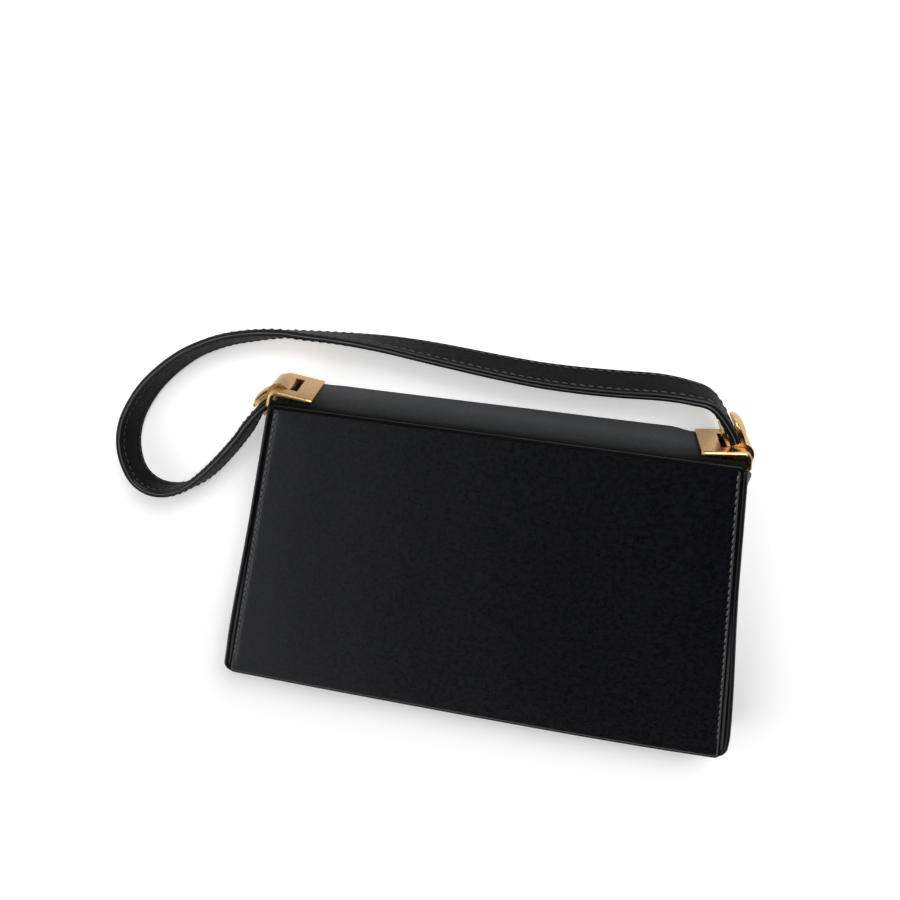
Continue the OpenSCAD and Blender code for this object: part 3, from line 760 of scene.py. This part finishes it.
# Where the wall's flat and round lengths begin and end
FRONT_Z_BASE = TOP_DEPTH - (TOP_Y - BASE_Y) * math.tan(TILT) - FRONT_DEPTH / TILT_COS
CORNER_REACH = BASE_FOLD * math.tan((math.pi / 2 - TILT) / 2)
BACK_RUN = TOP_Y - PANEL - BASE_Y - BASE_FOLD
ARC_ONE = BASE_FOLD * math.pi / 2
BASE_RUN = FRONT_Z_BASE - BASE_FOLD - CORNER_REACH
ARC_TWO = BASE_FOLD * (math.pi / 2 - TILT)
FRONT_START = Vector((BASE_Y + CORNER_REACH * TILT_COS, FRONT_Z_BASE + CORNER_REACH * TILT_SIN))
MOUTH_POINT = Vector((TOP_Y - MOUTH * TILT_COS + FRONT_DEPTH * TILT_SIN,
                      TOP_DEPTH - MOUTH * TILT_SIN - FRONT_DEPTH * TILT_COS))
WALL_RUN = BACK_RUN + ARC_ONE + BASE_RUN + ARC_TWO + (MOUTH_POINT - FRONT_START).length
WALL_HALF = BASE_HALF - SIDE_STEP


def wall_at(s):
    """(y, z) of the wall's outer face at a distance round it from the back panel's top, and the way in."""
    if s <= BACK_RUN:
        return Vector((TOP_Y - PANEL - s, 0.0)), Vector((0.0, 1.0))
    s -= BACK_RUN
    if s <= ARC_ONE:
        turn = s / BASE_FOLD
        out = Vector((-math.sin(turn), -math.cos(turn)))
        return Vector((BASE_Y + BASE_FOLD, BASE_FOLD)) + out * BASE_FOLD, -out
    s -= ARC_ONE
    if s <= BASE_RUN:
        return Vector((BASE_Y, BASE_FOLD + s)), Vector((1.0, 0.0))
    s -= BASE_RUN
    if s <= ARC_TWO:
        turn = s / BASE_FOLD
        out = Vector((-math.cos(turn), math.sin(turn)))
        return Vector((BASE_Y + BASE_FOLD, BASE_FOLD + BASE_RUN)) + out * BASE_FOLD, -out
    s -= ARC_TWO
    return FRONT_START + Vector((TILT_COS, TILT_SIN)) * s, Vector((TILT_SIN, -TILT_COS))


def wall_out(s):
    inward = wall_at(s)[1]
    return Vector((0, -inward.x, -inward.y))


def on_wall(x, s, n):
    """A point of the body's wall: x as if its sides were parallel, s round it, n out of its face."""
    where, inward = wall_at(s)
    y, z = where - inward * n
    half = half_width(y) - SIDE_STEP + side_bulge(math.copysign(1, x), (y - TOP_Y) / TILT_COS)
    return Vector((x * half / WALL_HALF, y, z))


def wall_swell(x, s):
    """How far the wall's leather stands off its plane, with a dip along each side seam."""
    side = WALL_HALF - abs(x)
    dip = 0.32 * hump(side - 3.0, 0.7) * clamp((s - 4) / 6)
    waves = 0.08 * ripple(x, s, 50, 5.5) * min(1.0, side / 8)
    return waves * (0.3 if s < BACK_RUN else 1.0) - dip


def make_body_shell():
    def place(x, s, n):
        if n > -0.05:
            n = min(n + wall_swell(x, s), 0.0) - (0.07 if s < BACK_RUN else 0.06)
        return on_wall(x, s, n)

    profile = [(3.0, -LEATHER), (0.35, -LEATHER), (0.08, -LEATHER + 0.15), (0.0, -0.9), (0.04, -0.6), (0.18, -0.3),
               (0.45, -0.06)]
    profile += [(run, 0.0) for run in (0.8, 1.4, 2.0, 2.4, 2.7, 3.0, 3.3, 3.7, 4.4, 6.0)]
    piece = slab("body_shell", ((WALL_HALF, 0.2), (WALL_HALF, WALL_RUN)), (0.6, 0.6, 1.5, 1.5), profile, place,
                 ["Suede lining", "Edge paint", "Body leather"], (0, 1, 2), 3, (60, 150))
    settle(piece, "bag", "leather", "body_leather")


def make_body_lining():
    half = WALL_HALF - 0.5

    def place(x, s, n):
        if n < -PANEL + 0.3:
            n += 0.10 * ripple(x, s, 30, 9.1) * min(1.0, (half - abs(x)) / 5) - 0.02
        return on_wall(x, s, n)

    piece = slab("body_lining_suede", ((half, 0.4), (half, WALL_RUN - 0.4)), (0.6, 0.6, 1.2, 1.2),
                 edge_profile(-LEATHER - 0.02, -PANEL, 0.4, 2.0), place,
                 ["Suede lining", "Edge paint"], (0, 1, 0), 3, (30, 120))
    settle(piece, "bag", "lining", "body_lining")


def make_body_stitches():
    half, mouth = WALL_HALF - 3.0, WALL_RUN - 2.6
    places = []
    for side in (-1, 1):
        places += stitches_along(lambda s: on_wall(side * half, s, wall_swell(side * half, s) - 0.30), wall_out,
                                 5.0, WALL_RUN - 4.0, 21 + side)
    places += stitches_along(lambda s: on_wall(-half + 4 + s, mouth, 0.02), lambda s: wall_out(mouth),
                             0.0, 2 * half - 8, 31)
    settle(add_stitches("body_stitches", places), "bag", "leather")


def make_gusset(side):
    """A folded side wall: leather outside and suede inside, its middle folded in towards the base.

    The right one bulges out again near its top.
    """
    top, bulge = (66.5, 7.5) if side > 0 else (64.0, 0.0)
    low = BASE_Y + PANEL + 0.15
    rows, columns = 44, 28
    width, size = columns + 1, (rows + 1) * (columns + 1)
    points = []
    for inset in (0.1, 1.95):
        for r in range(rows + 1):
            y = low + (top - low) * r / rows
            share = (y - low) / (top - low)
            fold = 6.0 * (1 - share) ** 1.15 - bulge * max(0.0, (share - 0.72) / 0.28) ** 1.6
            back = PANEL + 0.05
            front = TOP_DEPTH - (TOP_Y - y) * math.tan(TILT) - (FRONT_DEPTH + PANEL) / TILT_COS - 0.05
            for c in range(width):
                u = c / columns
                ridge = 1 - abs(2 * u - 1)
                shape = ridge - 0.16 * math.exp(-(ridge - 1) ** 2 / 0.02)
                x = half_width(y) - SIDE_STEP - 1.5 - fold * shape - inset
                x += 0.25 * ripple(u * 9, y, 14, 4.4 + side) * min(1.0, 4 * u * (1 - u))
                corner = max(0.0, 2.0 - (y - low)) if u < 0.08 or u > 0.92 else 0.0
                z = back + (front - back) * u + corner * (0.5 if u < 0.5 else -0.5)
                points.append(Vector((side * x, y, z)))
    faces, kinds = [], [0, 1] * (rows * columns)
    for r in range(rows):
        for c in range(columns):
            a, b = r * width + c, r * width + c + 1
            faces += [(a, b, b + width, a + width), (size + a, size + a + width, size + b + width, size + b)]
    rim = ([c for c in range(width)] + [r * width + columns for r in range(1, rows + 1)]
           + [rows * width + c for c in range(columns - 1, -1, -1)] + [r * width for r in range(rows - 1, 0, -1)])
    faces += [(a, b, size + b, size + a) for a, b in zip(rim, rim[1:] + rim[:1])]
    kinds += [2] * len(rim)
    piece = add_piece("gusset_side_" + SIDES[side], points, faces, ["Body leather", "Suede lining", "Edge paint"],
                      kinds)
    settle(piece, "bag", "leather", "gusset_" + SIDES[side])


def make_slip_pocket():
    half, low, high = 65.0, BASE_Y + 24.0, BASE_Y + 98.0

    def place(x, y, n):
        bow = 0.35 * math.cos(math.pi * x / (2 * half + 6)) * min(1.0, (y - low) / 30) if n > 0.5 else 0.0
        return Vector((x, y, PANEL + n + bow))

    piece = slab("slip_pocket_suede", ((half, low), (half, high)), (4, 4, 0.8, 0.8),
                 edge_profile(0.85, 0.02, 0.35, 2.5), place, ["Suede lining", "Edge paint"], (0, 0, 0), 3, (32, 20))
    # start and step of each row's line, where its stitches begin and end, and its seed
    rows = [(side * (half - 2.2), low, 0, 1, 3.0, high - low - 2, 41 + side) for side in (-1, 1)]
    rows += [(-half, low + 2.2, 1, 0, 3.0, 2 * half - 3, 44), (-half, high - 2.6, 1, 0, 4.0, 2 * half - 4, 45)]
    places = []
    for x, y, across, up, start, end, seed in rows:
        places += stitches_along(lambda s: place(x + s * across, y + s * up, 0.87), lambda s: Vector((0, 0, 1)),
                                 start, end, seed)
    settle(add_stitches("pocket_stitches", places), "bag", "lining")
    settle(piece, "bag", "lining", "slip_pocket")


# ---- the top strip


def round_sharp_edges(mesh, angle, offset, tidy=False):
    """Rounds the mesh's sharp edges. tidy first takes out the points and edges that its shape doesn't need."""
    work = bmesh.new()
    work.from_mesh(mesh)
    if tidy:
        bmesh.ops.remove_doubles(work, verts=work.verts, dist=2e-6)
        bmesh.ops.dissolve_limit(work, angle_limit=math.radians(0.6), verts=work.verts, edges=work.edges)
    sharp = [e for e in work.edges if len(e.link_faces) == 2 and e.calc_face_angle() > math.radians(angle)]
    bmesh.ops.bevel(work, geom=sharp, offset=offset, segments=3, profile=0.5, affect="EDGES", clamp_overlap=True)
    if tidy:
        bmesh.ops.recalc_face_normals(work, faces=work.faces)
    work.to_mesh(mesh)
    work.free()
    for face in mesh.polygons:
        face.use_smooth = True


def notched_slab(name, xs, zs, y_outer, y_inner, crown, finishes, bevel):
    """A strip whose ends are cut out for the links, crowned on its outer face."""
    index, points, faces, kinds = {}, [], [], []

    def corner(i, j, layer):
        if (i, j, layer) not in index:
            index[(i, j, layer)] = len(points)
            x, z = xs[i], zs[j]
            points.append(Vector((x, y_inner if layer else y_outer + crown(x, z), z)))
        return index[(i, j, layer)]

    cells = {(i, j) for i in range(len(xs) - 1) for j in range(len(zs) - 1)
             if abs(xs[i] + xs[i + 1]) / 2 <= STRIP_END or not POCKET_LOW < (zs[j] + zs[j + 1]) / 2 < POCKET_HIGH}
    for i, j in sorted(cells):
        ring = [(i, j), (i + 1, j), (i + 1, j + 1), (i, j + 1)]
        faces += [tuple(corner(a, b, 0) for a, b in ring), tuple(corner(a, b, 1) for a, b in reversed(ring))]
        kinds += [0, 1]
        for (a, b), step in zip(zip(ring, ring[1:] + ring[:1]), ((0, -1), (1, 0), (0, 1), (-1, 0))):
            if (i + step[0], j + step[1]) not in cells:
                faces.append((corner(*a, 0), corner(*a, 1), corner(*b, 1), corner(*b, 0)))
                kinds.append(2)
    piece = add_piece(name, points, faces, finishes, kinds)
    round_sharp_edges(piece.data, 50, bevel * MM)
    return piece


def make_top_strip():
    half, front = TOP_HALF - SIDE_STEP, TOP_DEPTH - FOLD_REACH
    xs = [-half, -half + 4] + steps(-STRIP_END, STRIP_END, 72) + [half - 4, half]
    zs = [0.0, 0.8] + steps(POCKET_LOW, POCKET_HIGH, 14) + [29.0, 30.5, front]

    def crown(x, z):
        """The strip sags between the brackets, spreads at the floor and creases below the flap."""
        share = z / front
        clear = ease((BRACKET_INNER - 1 - abs(x)) / 9)
        sag = -1.3 * clear * math.sin(math.pi * share) ** 0.9
        foot = clear * (0.3 + 1.0 * max(0.0, (x + 60) / 140)) * max(0.0, 1 - share * 1.6) ** 1.5
        crease = -0.45 * max(0.0, (share - 0.84) / 0.16) ** 1.5
        return sag + foot + crease - 0.08 + 0.05 * ripple(x, z, 40, 6.6)

    piece = notched_slab("top_strip", xs, zs, TOP_Y, TOP_Y - LEATHER, crown,
                         ["Strip leather", "Suede lining", "Edge paint"], 0.35)
    settle(piece, "bag", "leather", "strip_leather")
    inner = notched_slab("strip_lining_suede", [-half + 0.3, -STRIP_END, -45, 0, 45, STRIP_END, half - 0.3],
                         [0.3, POCKET_LOW, 10, 20, POCKET_HIGH, TOP_DEPTH - PANEL - 0.8], TOP_Y - LEATHER - 0.03,
                         TOP_Y - PANEL, lambda x, z: 0.0, ["Suede lining"] * 3, 0.25)
    settle(inner, "bag", "lining", "strip_lining")


# ---- the strap


STRAP_SEAM_INSET, STRAP_SEAM_DIP = 2.3, 0.16
STRAP_SPLIT_X = -143.0
# Start and end of a stretch on each length of the strap; they are read but nothing bends there
STRAP_BENDS = {-1: ((-140, 30, 9), (-112, 30, 9)), 1: ((42, 96, 9), (86, 96, 9))}


def strap_stations():
    """Places along the strap as (x, y, height of its lower edge, lean) on one smooth line, and the links' ways."""
    span = 2 * BAR.x
    seat = BAR.z - STRAP_WIDTH / 2
    ways = {side: Vector((-math.sin(lean), math.cos(lean))) for side, lean in LEANS.items()}

    def in_link(side, rise):
        return (side * BAR.x + rise * ways[side].x, BAR.y + rise * ways[side].y, seat, 0.0)

    route = [in_link(-1, SEAT_RISE), in_link(-1, LEG_RISE)]
    route += [(span * a - BAR.x, BAR.y + span * b, seat * c, lean) for a, b, c, lean in STRAP_ROUTE]
    route += [in_link(1, LEG_RISE), in_link(1, SEAT_RISE)]
    fine = []
    for i in range(len(route) - 1):
        p = [route[max(i - 1, 0)], route[i], route[i + 1], route[min(i + 2, len(route) - 1)]]
        for t in (k / 8 for k in range(8)):
            fine.append(tuple((2 * b + (c - a) * t + (2 * a - 5 * b + 4 * c - d) * t * t
                               + (3 * b - a - 3 * c + d) * t ** 3) / 2 for a, b, c, d in zip(*p)))
    return fine + [route[-1]], ways


def strap_frames():
    """For each place: the strap's middle, its outward and wide directions, and the distance so far."""
    places, ways = strap_stations()
    frames, run = [], 0.0
    for index, (x, y, low, lean) in enumerate(places):
        a, b = places[max(index - 1, 0)], places[min(index + 1, len(places) - 1)]
        heading = Vector((b[0] - a[0], b[1] - a[1])).normalized()
        if index < 8:
            heading = ways[-1]
        if index > len(places) - 9:
            heading = -ways[1]
        inward = Vector((heading.y, -heading.x, 0))
        tip = math.radians(lean)
        wide = inward * math.sin(tip) + Vector((0, 0, math.cos(tip)))
        out = Vector((0, 0, math.sin(tip))) - inward * math.cos(tip)
        clear = 0.4 * (1 - low / (BAR.z - STRAP_WIDTH / 2))
        middle = Vector((x, y, low + clear + STRAP_WIDTH / 2 * math.cos(tip) + STRAP_THICK / 2 * abs(math.sin(tip))))
        if frames:
            run += (middle - frames[-1][0]).length
        frames.append((middle, out, wide, run))
    return frames


def strap_section():
    """The strap's outline across, as (out, wide), with the finish of each side: leather, paint and seam."""
    half, face, edge = STRAP_WIDTH / 2, STRAP_THICK / 2, 0.75
    seam = STRAP_INNER - STRAP_THICK / 2
    section = []
    # first the outer face and the upper edge, then the inner face and the lower edge
    for way in (1, -1):
        for k in range(9):
            share = -1 + 2 * k / 8
            section.append((way * (face - 0.06 - 0.10 * abs(share) ** 3), way * share * (half - edge), int(k == 8)))
        corner = [(face - edge + edge * math.cos(turn) - 0.12, way * (half - edge + edge * math.sin(turn)))
                  for turn in map(math.radians, (25, 50, 75))]
        section += [(way * out, wide, 1) for out, wide in corner]
        section += [(seam + way * out, way * (half - deep), kind) for out, deep, kind in
                    ((0.42, 0.02, 1), (0.20, 0.22, 2), (0.0, 0.34, 2), (-0.20, 0.22, 1), (-0.42, 0.02, 1))]
        section += [(-way * out, wide, 1) for out, wide in reversed(corner)]
    return section


def make_strap():
    frames, section = strap_frames(), strap_section()
    total = frames[-1][3]
    split = min((k for k in range(len(frames)) if frames[k][0].y > 70 and frames[k][0].x < -100),
                key=lambda k: abs(frames[k][0].x - STRAP_SPLIT_X))

    def at(run):
        """The strap's middle, outward and wide directions at a distance along it."""
        for k in range(1, len(frames)):
            if frames[k][3] >= run:
                share = (run - frames[k - 1][3]) / max(frames[k][3] - frames[k - 1][3], 1e-6)
                return [frames[k - 1][m].lerp(frames[k][m], share) for m in range(3)]
        return frames[-1][:3]

    for side, first, last in ((-1, 0, split), (1, split, len(frames) - 1)):
        points = []
        for middle, out, wide, run in frames[first:last + 1]:
            for a, b, kind in section:
                face = 1 if a > 0 else -1
                # the face sinks along each seam and swells between them
                a -= face * STRAP_SEAM_DIP * hump(STRAP_WIDTH / 2 - abs(b) - STRAP_SEAM_INSET, 0.6)
                points.append(middle + out * (a + 0.03 * ripple(run, b + face * 30, 11, 8.8)) + wide * b)
        slots = [kind for a, b, kind in section] * (last - first) + [1, 1]
        piece = add_piece("strap_" + SIDES[side], points, capped_faces(last - first + 1, len(section)),
                          ["Strap leather", "Edge paint", "Edge seam"], slots)
        piece.data.set_sharp_from_angle(angle=math.radians(65))
        places, rise = [], STRAP_THICK / 2 - STRAP_SEAM_DIP - 0.04
        low_run = max(frames[first][3], 8.0) + (0.9 if side > 0 else 0)
        high_run = min(frames[last][3], total - 8.0) - (0.9 if side < 0 else 0)
        for face in (1, -1):
            for edge in (1, -1):
                def line(run):
                    middle, out, wide = at(run)
                    return middle + out * (face * rise) + wide * (edge * (STRAP_WIDTH / 2 - STRAP_SEAM_INSET))

                places += stitches_along(line, lambda run: at(run)[1] * face, low_run, high_run, 60 + face * 5 + edge)
        thread = add_stitches(piece.name + "_stitches", places, "Strap thread")
        start, end = (tuple(c * MM for c in point) for point in STRAP_BENDS[side])
        for item in (piece, thread):
            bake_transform(item)
            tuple(start)
            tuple(end)
        if side < 0:
            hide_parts("strap_leather", "strap_backing")


# ---- the metal


def softened_copy(node, name, body):
    """The CAD node's own shape in the gold-toned metal, with its edges rounded."""
    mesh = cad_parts[node].data.copy()
    mesh.name = name
    round_sharp_edges(mesh, 32, bpy.context.scene.bag_sizes.metal_bevel, tidy=True)
    mesh.materials.clear()
    mesh.materials.append(finish("Gold metal"))
    mesh.set_sharp_from_angle(angle=math.radians(38))
    piece = add_object(name, mesh)
    flat = piece.modifiers.new("Flat faces", "WEIGHTED_NORMAL")
    flat.keep_sharp = True
    flat.weight = 90
    settle(piece, body, "brass", node)


def make_clasp_dome(side):
    """The domed cap over a link's rivet, on the outer face of its tongue."""
    height, half_long, middle = (3.2, 6.4, 9.5) if side > 0 else (2.9, 5.6, 8.7)
    foot, half_wide = STRAP_THICK / 2 + 0.85, 6.9
    rings, count = 9, 48
    points = []
    for ring in range(rings):
        turn = math.pi / 2 * ring / rings
        reach, rise = math.cos(turn) ** 0.85, math.sin(turn)
        for angle in turns(count):
            c, s = math.cos(angle), math.sin(angle)
            y = middle + half_long * reach * math.copysign(abs(s) ** 0.8, s)
            z = half_wide * reach * math.copysign(abs(c) ** 0.8, c)
            points.append(Vector((foot + height * rise, y, z)))
    points.append(Vector((foot + height, middle, 0)))
    last = (rings - 1) * count
    faces = ring_faces(rings, count)
    faces += [(last + k, last + (k + 1) % count, len(points) - 1) for k in range(count)]
    faces.append(tuple(range(count - 1, -1, -1)))
    turned = Matrix.Rotation(LEANS[side], 3, "Z")
    bar = Vector((side * BAR.x, BAR.y, BAR.z))
    piece = add_piece("clasp_dome_" + SIDES[side], [bar + turned @ p for p in points], faces, ["Gold metal"])
    settle(piece, SIDES[side] + "_link", "brass")


def make_bracket_rim(side):
    """The rounded rim along a bracket's front edge, from its plate round the bend and down the leg."""
    front, bend_u, bend_w, radius = 27.0, 16.2, -1.8, 2.8
    route = [(u, 1.0, 0.0) for u in (0.12, 0.4, 0.9, 3.0, 6.0, 9.0, 12.0, 15.0)]
    for turn in steps(0, math.pi / 2, 12):
        route.append((bend_u + radius * math.sin(turn), bend_w + radius * math.cos(turn), turn))
    route += [(bend_u + radius, w, math.pi / 2) for w in (-3.2, -4.6, -5.3, -5.9)]

    def lifted(u, w):
        return Vector((side * (u * math.cos(BRACKET_LIFT) - w * math.sin(BRACKET_LIFT)),
                       u * math.sin(BRACKET_LIFT) + w * math.cos(BRACKET_LIFT), 0))

    def frame_of(index):
        # a little smaller at both ends
        low = (0.72, 0.86)[index] if index < 2 else (0.8 if index == len(route) - 1 else 1.0)
        turn = route[index][2]
        return lifted(math.sin(turn), math.cos(turn)) * low, Vector((0, 0, low))

    section = [(0.97, -0.4), (0.96, 0.05), (0.84, 0.34), (0.56, 0.60), (0.18, 0.79), (-0.24, 0.90), (-0.60, 0.92),
               (-0.84, 0.82), (-0.96, 0.58), (-0.97, -0.4)]
    corner = Vector((side * BRACKET_INNER, TOP_Y, front))
    points, faces = tube([corner + lifted(u, w) for u, w, turn in route], frame_of, section)
    piece = add_piece("bracket_rim_" + SIDES[side], points, faces, ["Gold metal"])
    piece.data.set_sharp_from_angle(angle=math.radians(50))
    settle(piece, "bag", "brass")


def dress_nodes(finish_name, *nodes):
    """CAD nodes that keep their own shape get their material."""
    for node in nodes:
        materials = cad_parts[node].data.materials
        materials.clear()
        materials.append(finish(finish_name))


# ---- the stage


# Place, size and power of each lamp; all of them point at the bag
LAMPS = {"Key": ((0.50, 1.35, 1.15), (1.0, 0.9), 24.0), "Fill": ((0.25, 1.00, 1.30), (1.0, 1.0), 9.5)}
CAMERA_PLACE = (0.008161, 0.237652, 0.421651)
CAMERA_TURN = ((0.9779, -0.1333, 0.1612), (0.0595, 0.9162, 0.3963), (-0.2005, -0.3780, 0.9038))


def make_floor():
    """A pale floor that glows a little, more behind the bag and far from it."""
    mesh, reach = bpy.data.meshes.new("floor"), 3.0
    mesh.from_pydata([(-reach, -reach, 0), (reach, -reach, 0), (reach, reach, 0), (-reach, reach, 0)], [],
                     [(0, 1, 2, 3)])
    floor = add_object("floor", mesh)
    floor.location.z = -0.0002
    material = bpy.data.materials.new("Pale floor")
    material.use_nodes = True
    tree = material.node_tree
    tree.nodes.clear()
    diffuse = add_node(tree, "BsdfDiffuse", {"Color": (0.90, 0.90, 0.90, 1.0)}).outputs[0]
    place = place_in(tree)
    away = add_node(tree, "VectorMath", {0: place}, operation="LENGTH").outputs["Value"]
    # Painted light on the floor: the glow is stronger behind the bag, lightening the shadow between strap and bag,
    # and weaker in front of it, where the shadow stays darker.
    level = math_node(tree, "ADD", spread(tree, part_of(tree, place, "Y"), -0.06, 0.09, 0.10, 0.37),
                      spread(tree, away, 0.16, 1.0, 0.0, 0.85))
    glow = add_node(tree, "Emission", {"Color": WHITE, "Strength": level}).outputs[0]
    path = add_node(tree, "LightPath").outputs
    seen = math_node(tree, "MAXIMUM", path["Is Camera Ray"],
                     math_node(tree, "MAXIMUM", path["Is Glossy Ray"], path["Is Transmission Ray"]))
    lifted = add_node(tree, "AddShader", {0: diffuse, 1: glow}).outputs[0]
    mixed = add_node(tree, "MixShader", {"Fac": seen, 1: diffuse, 2: lifted}).outputs[0]
    add_node(tree, "OutputMaterial", {"Surface": mixed})
    mesh.materials.append(material)


def make_room(scene):
    """White walls, under a ceiling that is light on the left and dark on the right."""
    world = bpy.data.worlds.new("Studio")
    world.use_nodes = True
    tree = world.node_tree
    direction = add_node(tree, "TexCoord").outputs["Generated"]
    lean = add_node(tree, "VectorMath", {0: direction, 1: (-0.95, -0.10, 0.10)}, operation="DOT_PRODUCT")
    ceiling = spread(tree, lean.outputs["Value"], 0.22, 0.80, 0.0, 2.0)
    wall = spread(tree, part_of(tree, direction, "Z"), 0.14, 0.30, 1.0, 0.0)
    above = times(tree, ceiling, math_node(tree, "SUBTRACT", 1.0, wall))
    background = tree.nodes["Background"].inputs
    tree.links.new(math_node(tree, "ADD", above, wall), background["Strength"])
    background["Color"].default_value = WHITE
    scene.world = world


def make_stage(scene):
    scene.view_settings.view_transform = "Standard"
    make_floor()
    make_room(scene)
    for name, (place, size, power) in LAMPS.items():
        data = bpy.data.lights.new(name, "AREA")
        data.shape = "RECTANGLE"
        data.size, data.size_y = size
        data.energy = power
        lamp = add_object(name, data)
        lamp.location = place
        lamp.rotation_euler = (-Vector(place)).to_track_quat("-Z", "Y").to_euler()
    data = bpy.data.cameras.new("Camera")
    data.sensor_width = 36.0
    data.lens = 40.0
    data.shift_x, data.shift_y = 0.10636, -0.01633
    data.clip_start = 0.01
    scene.camera = add_object("Camera", data)
    scene.camera.matrix_world = Matrix.Translation(CAMERA_PLACE) @ Matrix(CAMERA_TURN).to_4x4()


# ---- operators


class BAG_OT_stage(bpy.types.Operator):
    """Adds the floor, the lamps and the camera"""
    bl_idname = "bag.stage"
    bl_label = "Stage"

    def execute(self, context):
        make_stage(context.scene)
        return {"FINISHED"}


class BAG_OT_body(bpy.types.Operator):
    """Builds the body's shell, lining, gussets and pocket"""
    bl_idname = "bag.body"
    bl_label = "Body"

    def execute(self, context):
        make_body_shell()
        make_body_lining()
        for side in SIDES:
            make_gusset(side)
        make_slip_pocket()
        make_body_stitches()
        return {"FINISHED"}


class BAG_OT_top_strip(bpy.types.Operator):
    """Builds the strip along the bag's top edge"""
    bl_idname = "bag.top_strip"
    bl_label = "Top strip"

    def execute(self, context):
        make_top_strip()
        return {"FINISHED"}


class BAG_OT_flap(bpy.types.Operator):
    """Builds the flap's leather, edging, lining, fold and stitches"""
    bl_idname = "bag.flap"
    bl_label = "Flap"

    def execute(self, context):
        make_flap_panel()
        make_flap_edging()
        make_flap_backing()
        make_flap_fold()
        make_flap_stitches()
        return {"FINISHED"}


class BAG_OT_strap(bpy.types.Operator):
    """Builds the strap in two lengths, each with its stitches"""
    bl_idname = "bag.strap"
    bl_label = "Strap"

    def execute(self, context):
        make_strap()
        return {"FINISHED"}


class BAG_OT_metal(bpy.types.Operator):
    """Rounds and finishes the brackets, links, rivets and nuts"""
    bl_idname = "bag.metal"
    bl_label = "Metal"

    def execute(self, context):
        for end in SIDES.values():
            softened_copy("bracket_" + end, "corner_bracket_" + end, "bag")
            softened_copy("link_" + end, "strap_link_" + end, end + "_link")
            softened_copy("rivet_" + end, "link_rivet_" + end, end + "_link")
        for make in (make_bracket_rim, make_clasp_dome):
            for side in SIDES:
                make(side)
        dress_nodes("Gold metal", "bracket_nuts")
        return {"FINISHED"}


class BAG_OT_inner_parts(bpy.types.Operator):
    """Gives the boards and magnets inside the panels their finishes"""
    bl_idname = "bag.inner_parts"
    bl_label = "Boards and magnets"

    def execute(self, context):
        dress_nodes("Fibre board", "back_board", "front_board", "base_board", "strip_board", "flap_board")
        dress_nodes("Plated steel", "body_magnets", "flap_magnets")
        return {"FINISHED"}


OPERATORS = (BAG_OT_stage, BAG_OT_body, BAG_OT_top_strip, BAG_OT_flap, BAG_OT_strap, BAG_OT_metal,
             BAG_OT_inner_parts)


class BAG_PT_panel(bpy.types.Panel):
    """Lists the bag's sizes, colours and pieces"""
    bl_idname = "BAG_PT_panel"
    bl_label = "Flap bag"
    bl_space_type = "VIEW_3D"
    bl_region_type = "UI"
    bl_category = "Bag"

    def draw(self, context):
        layout = self.layout
        for group in (context.scene.bag_sizes, context.scene.bag_colours):
            box = layout.box()
            for name in group.__annotations__:
                box.prop(group, name)
        for operator in OPERATORS:
            layout.operator(operator.bl_idname)


CLASSES = (BagSizes, BagColours) + OPERATORS + (BAG_PT_panel,)


def register():
    for item in CLASSES:
        bpy.utils.register_class(item)
    bpy.types.Scene.bag_sizes = bpy.props.PointerProperty(type=BagSizes)
    bpy.types.Scene.bag_colours = bpy.props.PointerProperty(type=BagColours)


def unregister():
    del bpy.types.Scene.bag_colours
    del bpy.types.Scene.bag_sizes
    for item in reversed(CLASSES):
        bpy.utils.unregister_class(item)


def main():
    register()
    for operator in OPERATORS:
        group, name = operator.bl_idname.split(".")
        getattr(getattr(bpy.ops, group), name)()
    bpy.context.view_layer.update()


if __name__ == "__main__":
    main()
